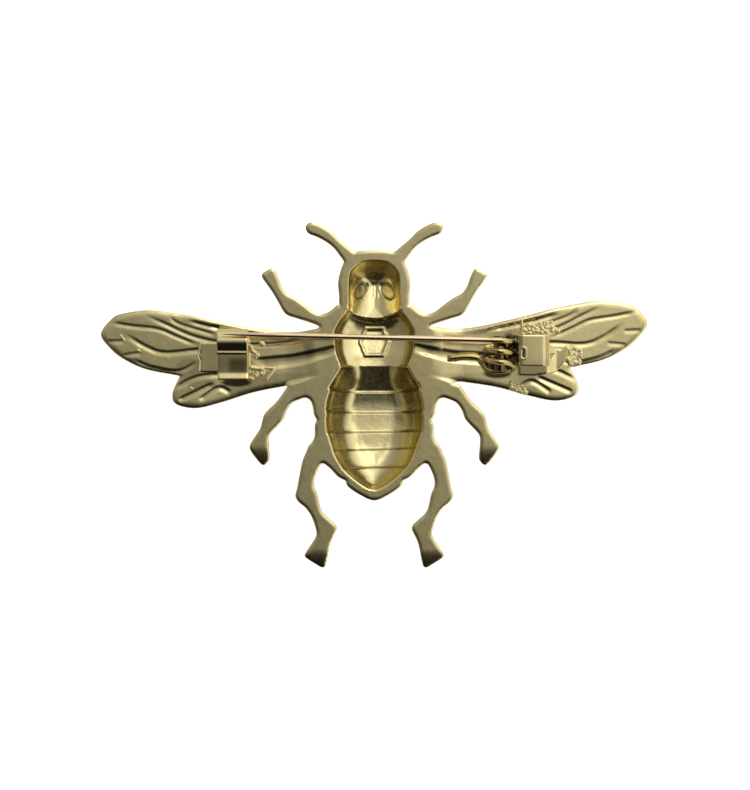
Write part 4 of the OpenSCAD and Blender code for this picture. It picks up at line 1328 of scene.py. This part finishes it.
# Solder: drops and grainy seams of plated tin solder that hold the catch and the strap, with a few
# splashes on the wings. Beads run along seams and fill patches, and melt into one surface.
# Seams. Columns: bead radius in mm, then points (across, along, any height above the wing).
seams = [
    (0.17, [(-15.95, 6.4), (-15.95, 4.6), (-15.9, 2.9)]),
    (0.26, [(-16.15, 7.0, 0.1), (-16.05, 6.85, 0.1)]),
    (0.3, [(-14.4, 6.6), (-14.2, 6.45)]),
    (0.28, [(-15.7, 6.1, 0.05), (-15.55, 5.6, 0.05), (-15.15, 5.35)]),
    (0.32, [(-15.65, 3.5, 0.05), (-15.0, 3.4), (-14.4, 3.35)]),
    (0.22, [(-14.6, 3.5), (-13.6, 3.45), (-12.7, 3.4), (-13.2, 2.7), (-13.7, 2.1)]),
    (0.22, [(-15.9, 2.2), (-15.5, 2.05)]),
    (0.38, [(24.6, 5.9, 0.1), (24.8, 5.8, 0.05)]),
    (0.38, [(24.65, 4.6, 0.1), (24.8, 4.45, 0.05)]),
    (0.24, [(24.9, 5.6), (25.1, 5.1), (24.95, 4.7)]),
    (0.2, [(18.8, 9.5, 0.1), (18.85, 8.7, 0.15), (18.7, 7.9, 0.1)]),
    (0.15, [
        (-22.2, 6.6, 0.17), (-22.3, 5.8, 0.17), (-22.5, 4.9, 0.08), (-22.25, 4.4, 0.17),
        (-22.3, 3.2, 0.17),
    ]),
    (0.16, [(-32.35, 7.6), (-31.9, 6.95)]),
    (0.16, [(-30.2, 5.75), (-29.9, 5.6)]),
    (0.16, [(-23.4, 0.9), (-23.2, 0.8)]),
]
# Patches of grainy solder. Columns: bead radius and lift in mm, corners (across, along).
patches = [
    (0.34, -0.22, [(18.6, 7.7), (23.6, 8.1), (22.8, 9.4), (18.7, 8.9)]),
    (0.3, -0.1, [(16.95, 1.75), (18.2, 1.3), (19.3, 0.7), (19.9, 0.3), (18.7, 0.3), (17.4, 0.8)]),
    (0.3, -0.17, [(-15.9, 5.9), (-14.6, 5.2), (-15.0, 4.6), (-15.9, 4.9)]),
    (0.34, -0.2, [(-15.8, 3.7), (-13.6, 3.55), (-14.2, 2.5), (-15.6, 2.6)]),
    (0.34, -0.2, [(24.9, 6.4), (26.6, 5.6), (26.2, 4.1), (24.7, 3.7)]),
]
bead_spacing = 0.16
beads_per_mm2 = 32.0
bead_share = (0.65, 1.25)
melt_grain = 0.05
least_speck = 60


def on_back(rows, lift):
    """Points (across, along, height above the surface) as points on the casting's back."""
    rows = np.array([tuple(row) + (lift,) * (3 - len(row)) for row in rows], float)
    return np.c_[rows[:, :2], np.maximum(back(rows[:, :2]), wing_z - 0.1) + rows[:, 2]].tolist()


seed_points, seed_edges, seed_faces, seed_radii = [], [], [], []
for radius, path in seams:
    first = len(seed_points)
    seed_points += on_back(path, 0)
    seed_edges += [(first + i, first + i + 1) for i in range(len(path) - 1)]
    seed_radii += [radius] * len(path)
for radius, lift, corners in patches:
    first = len(seed_points)
    seed_points += on_back(corners, lift)
    seed_faces.append(list(range(first, first + len(corners))))
    seed_radii += [radius] * len(corners)
seeds_mesh = bpy.data.meshes.new("solder_seeds")
seeds_mesh.from_pydata((np.array(seed_points) * mm).tolist(), seed_edges, seed_faces)
seeds = bpy.data.objects.new("solder_seeds", seeds_mesh)
bpy.context.scene.collection.objects.link(seeds)
paint(seeds, "bead", np.array(seed_radii) * mm)

melt = bpy.data.node_groups.new("melted_beads", "GeometryNodeTree")
melt.interface.new_socket("Geometry", in_out="INPUT", socket_type="NodeSocketGeometry")
for label in ("Spacing", "Density", "Grain"):
    melt.interface.new_socket(label, in_out="INPUT", socket_type="NodeSocketFloat")
melt.interface.new_socket("Geometry", in_out="OUTPUT", socket_type="NodeSocketGeometry")
given = add_node(melt, "NodeGroupInput").outputs


def melt_node(kind, inputs, out=0, **settings):
    """Adds a node to the melt and gives its output."""
    return add_node(melt, kind, inputs, **settings).outputs[out]


named = {"Name": "bead"}
bead = melt_node("GeometryNodeInputNamedAttribute", named, "Attribute", data_type="FLOAT")
face_count = melt_node("GeometryNodeInputMeshEdgeNeighbors", {}, "Face Count")
counted = {2: face_count, 3: 0}
loose = melt_node("FunctionNodeCompare", counted, data_type="INT", operation="EQUAL")
loose_edges = {"Mesh": given["Geometry"], "Selection": loose}
seam_curves = melt_node("GeometryNodeMeshToCurve", loose_edges)
spaced = {"Curve": seam_curves, "Length": given["Spacing"]}
seam_steps = {"Curve": melt_node("GeometryNodeResampleCurve", spaced, mode="LENGTH")}
seam_points = melt_node("GeometryNodeCurveToPoints", seam_steps, "Points", mode="EVALUATED")
scattered = {"Mesh": given["Geometry"], "Density": given["Density"], "Seed": 5}
patch_points = melt_node("GeometryNodeDistributePointsOnFaces", scattered, "Points")
all_beads = melt.nodes.new("GeometryNodeJoinGeometry")
for points in (seam_points, patch_points):
    melt.links.new(points, all_beads.inputs[0])
ball = melt_node("GeometryNodeMeshIcoSphere", {"Radius": 1.0, "Subdivisions": 3}, "Mesh")
chance_range = {2: bead_share[0], 3: bead_share[1], "Seed": 3}
chance = melt_node("FunctionNodeRandomValue", chance_range, 1, data_type="FLOAT")
bead_size = melt_node("ShaderNodeMath", {0: bead, 1: chance}, operation="MULTIPLY")
instanced = {"Points": all_beads.outputs[0], "Instance": ball, "Scale": bead_size}
balls = melt_node("GeometryNodeInstanceOnPoints", instanced)
solid = melt_node("GeometryNodeRealizeInstances", {0: balls})
filled = {"Mesh": solid, "Voxel Size": given["Grain"]}
fog = melt_node("GeometryNodeMeshToVolume", filled, resolution_mode="VOXEL_SIZE")
skinned = {"Volume": fog, "Voxel Size": given["Grain"], "Threshold": 0.1, "Adaptivity": 0.0}
skin = melt_node("GeometryNodeVolumeToMesh", skinned, resolution_mode="VOXEL_SIZE")
# Specks that the melting leaves, of a few points each, are deleted
island = melt_node("GeometryNodeInputMeshIsland", {}, "Island Index")
grouped = {"Value": 1, "Group ID": island}
island_size = melt_node("GeometryNodeAccumulateField", grouped, "Total", data_type="INT")
compared = {2: island_size, 3: least_speck}
speck = melt_node("FunctionNodeCompare", compared, data_type="INT", operation="LESS_THAN")
cleared = melt_node("GeometryNodeDeleteGeometry", {"Geometry": skin, "Selection": speck})
evened = melt_node("GeometryNodeSetShadeSmooth", {"Geometry": cleared})
tin = metal("tin_solder_plated_pale_gold", "#efdfa6", "#3c3018", 0.45, 0.25, 0.02, 0.4)
dressed = melt_node("GeometryNodeSetMaterial", {"Geometry": evened, "Material": tin})
add_node(melt, "NodeGroupOutput", {0: dressed})

modifier = seeds.modifiers.new("melt", "NODES")
modifier.node_group = melt
wanted = {"Spacing": bead_spacing * mm, "Density": beads_per_mm2 / mm**2, "Grain": melt_grain * mm}
for item in melt.interface.items_tree:
    if item.item_type == "SOCKET" and item.in_out == "INPUT" and item.name in wanted:
        modifier[item.identifier] = wanted[item.name]
evaluated = seeds.evaluated_get(bpy.context.evaluated_depsgraph_get())
solder = bpy.data.objects.new("solder", bpy.data.meshes.new_from_object(evaluated))
bpy.context.scene.collection.objects.link(solder)
bpy.data.objects.remove(seeds)
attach(solder, "bee")
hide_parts("bee_body")
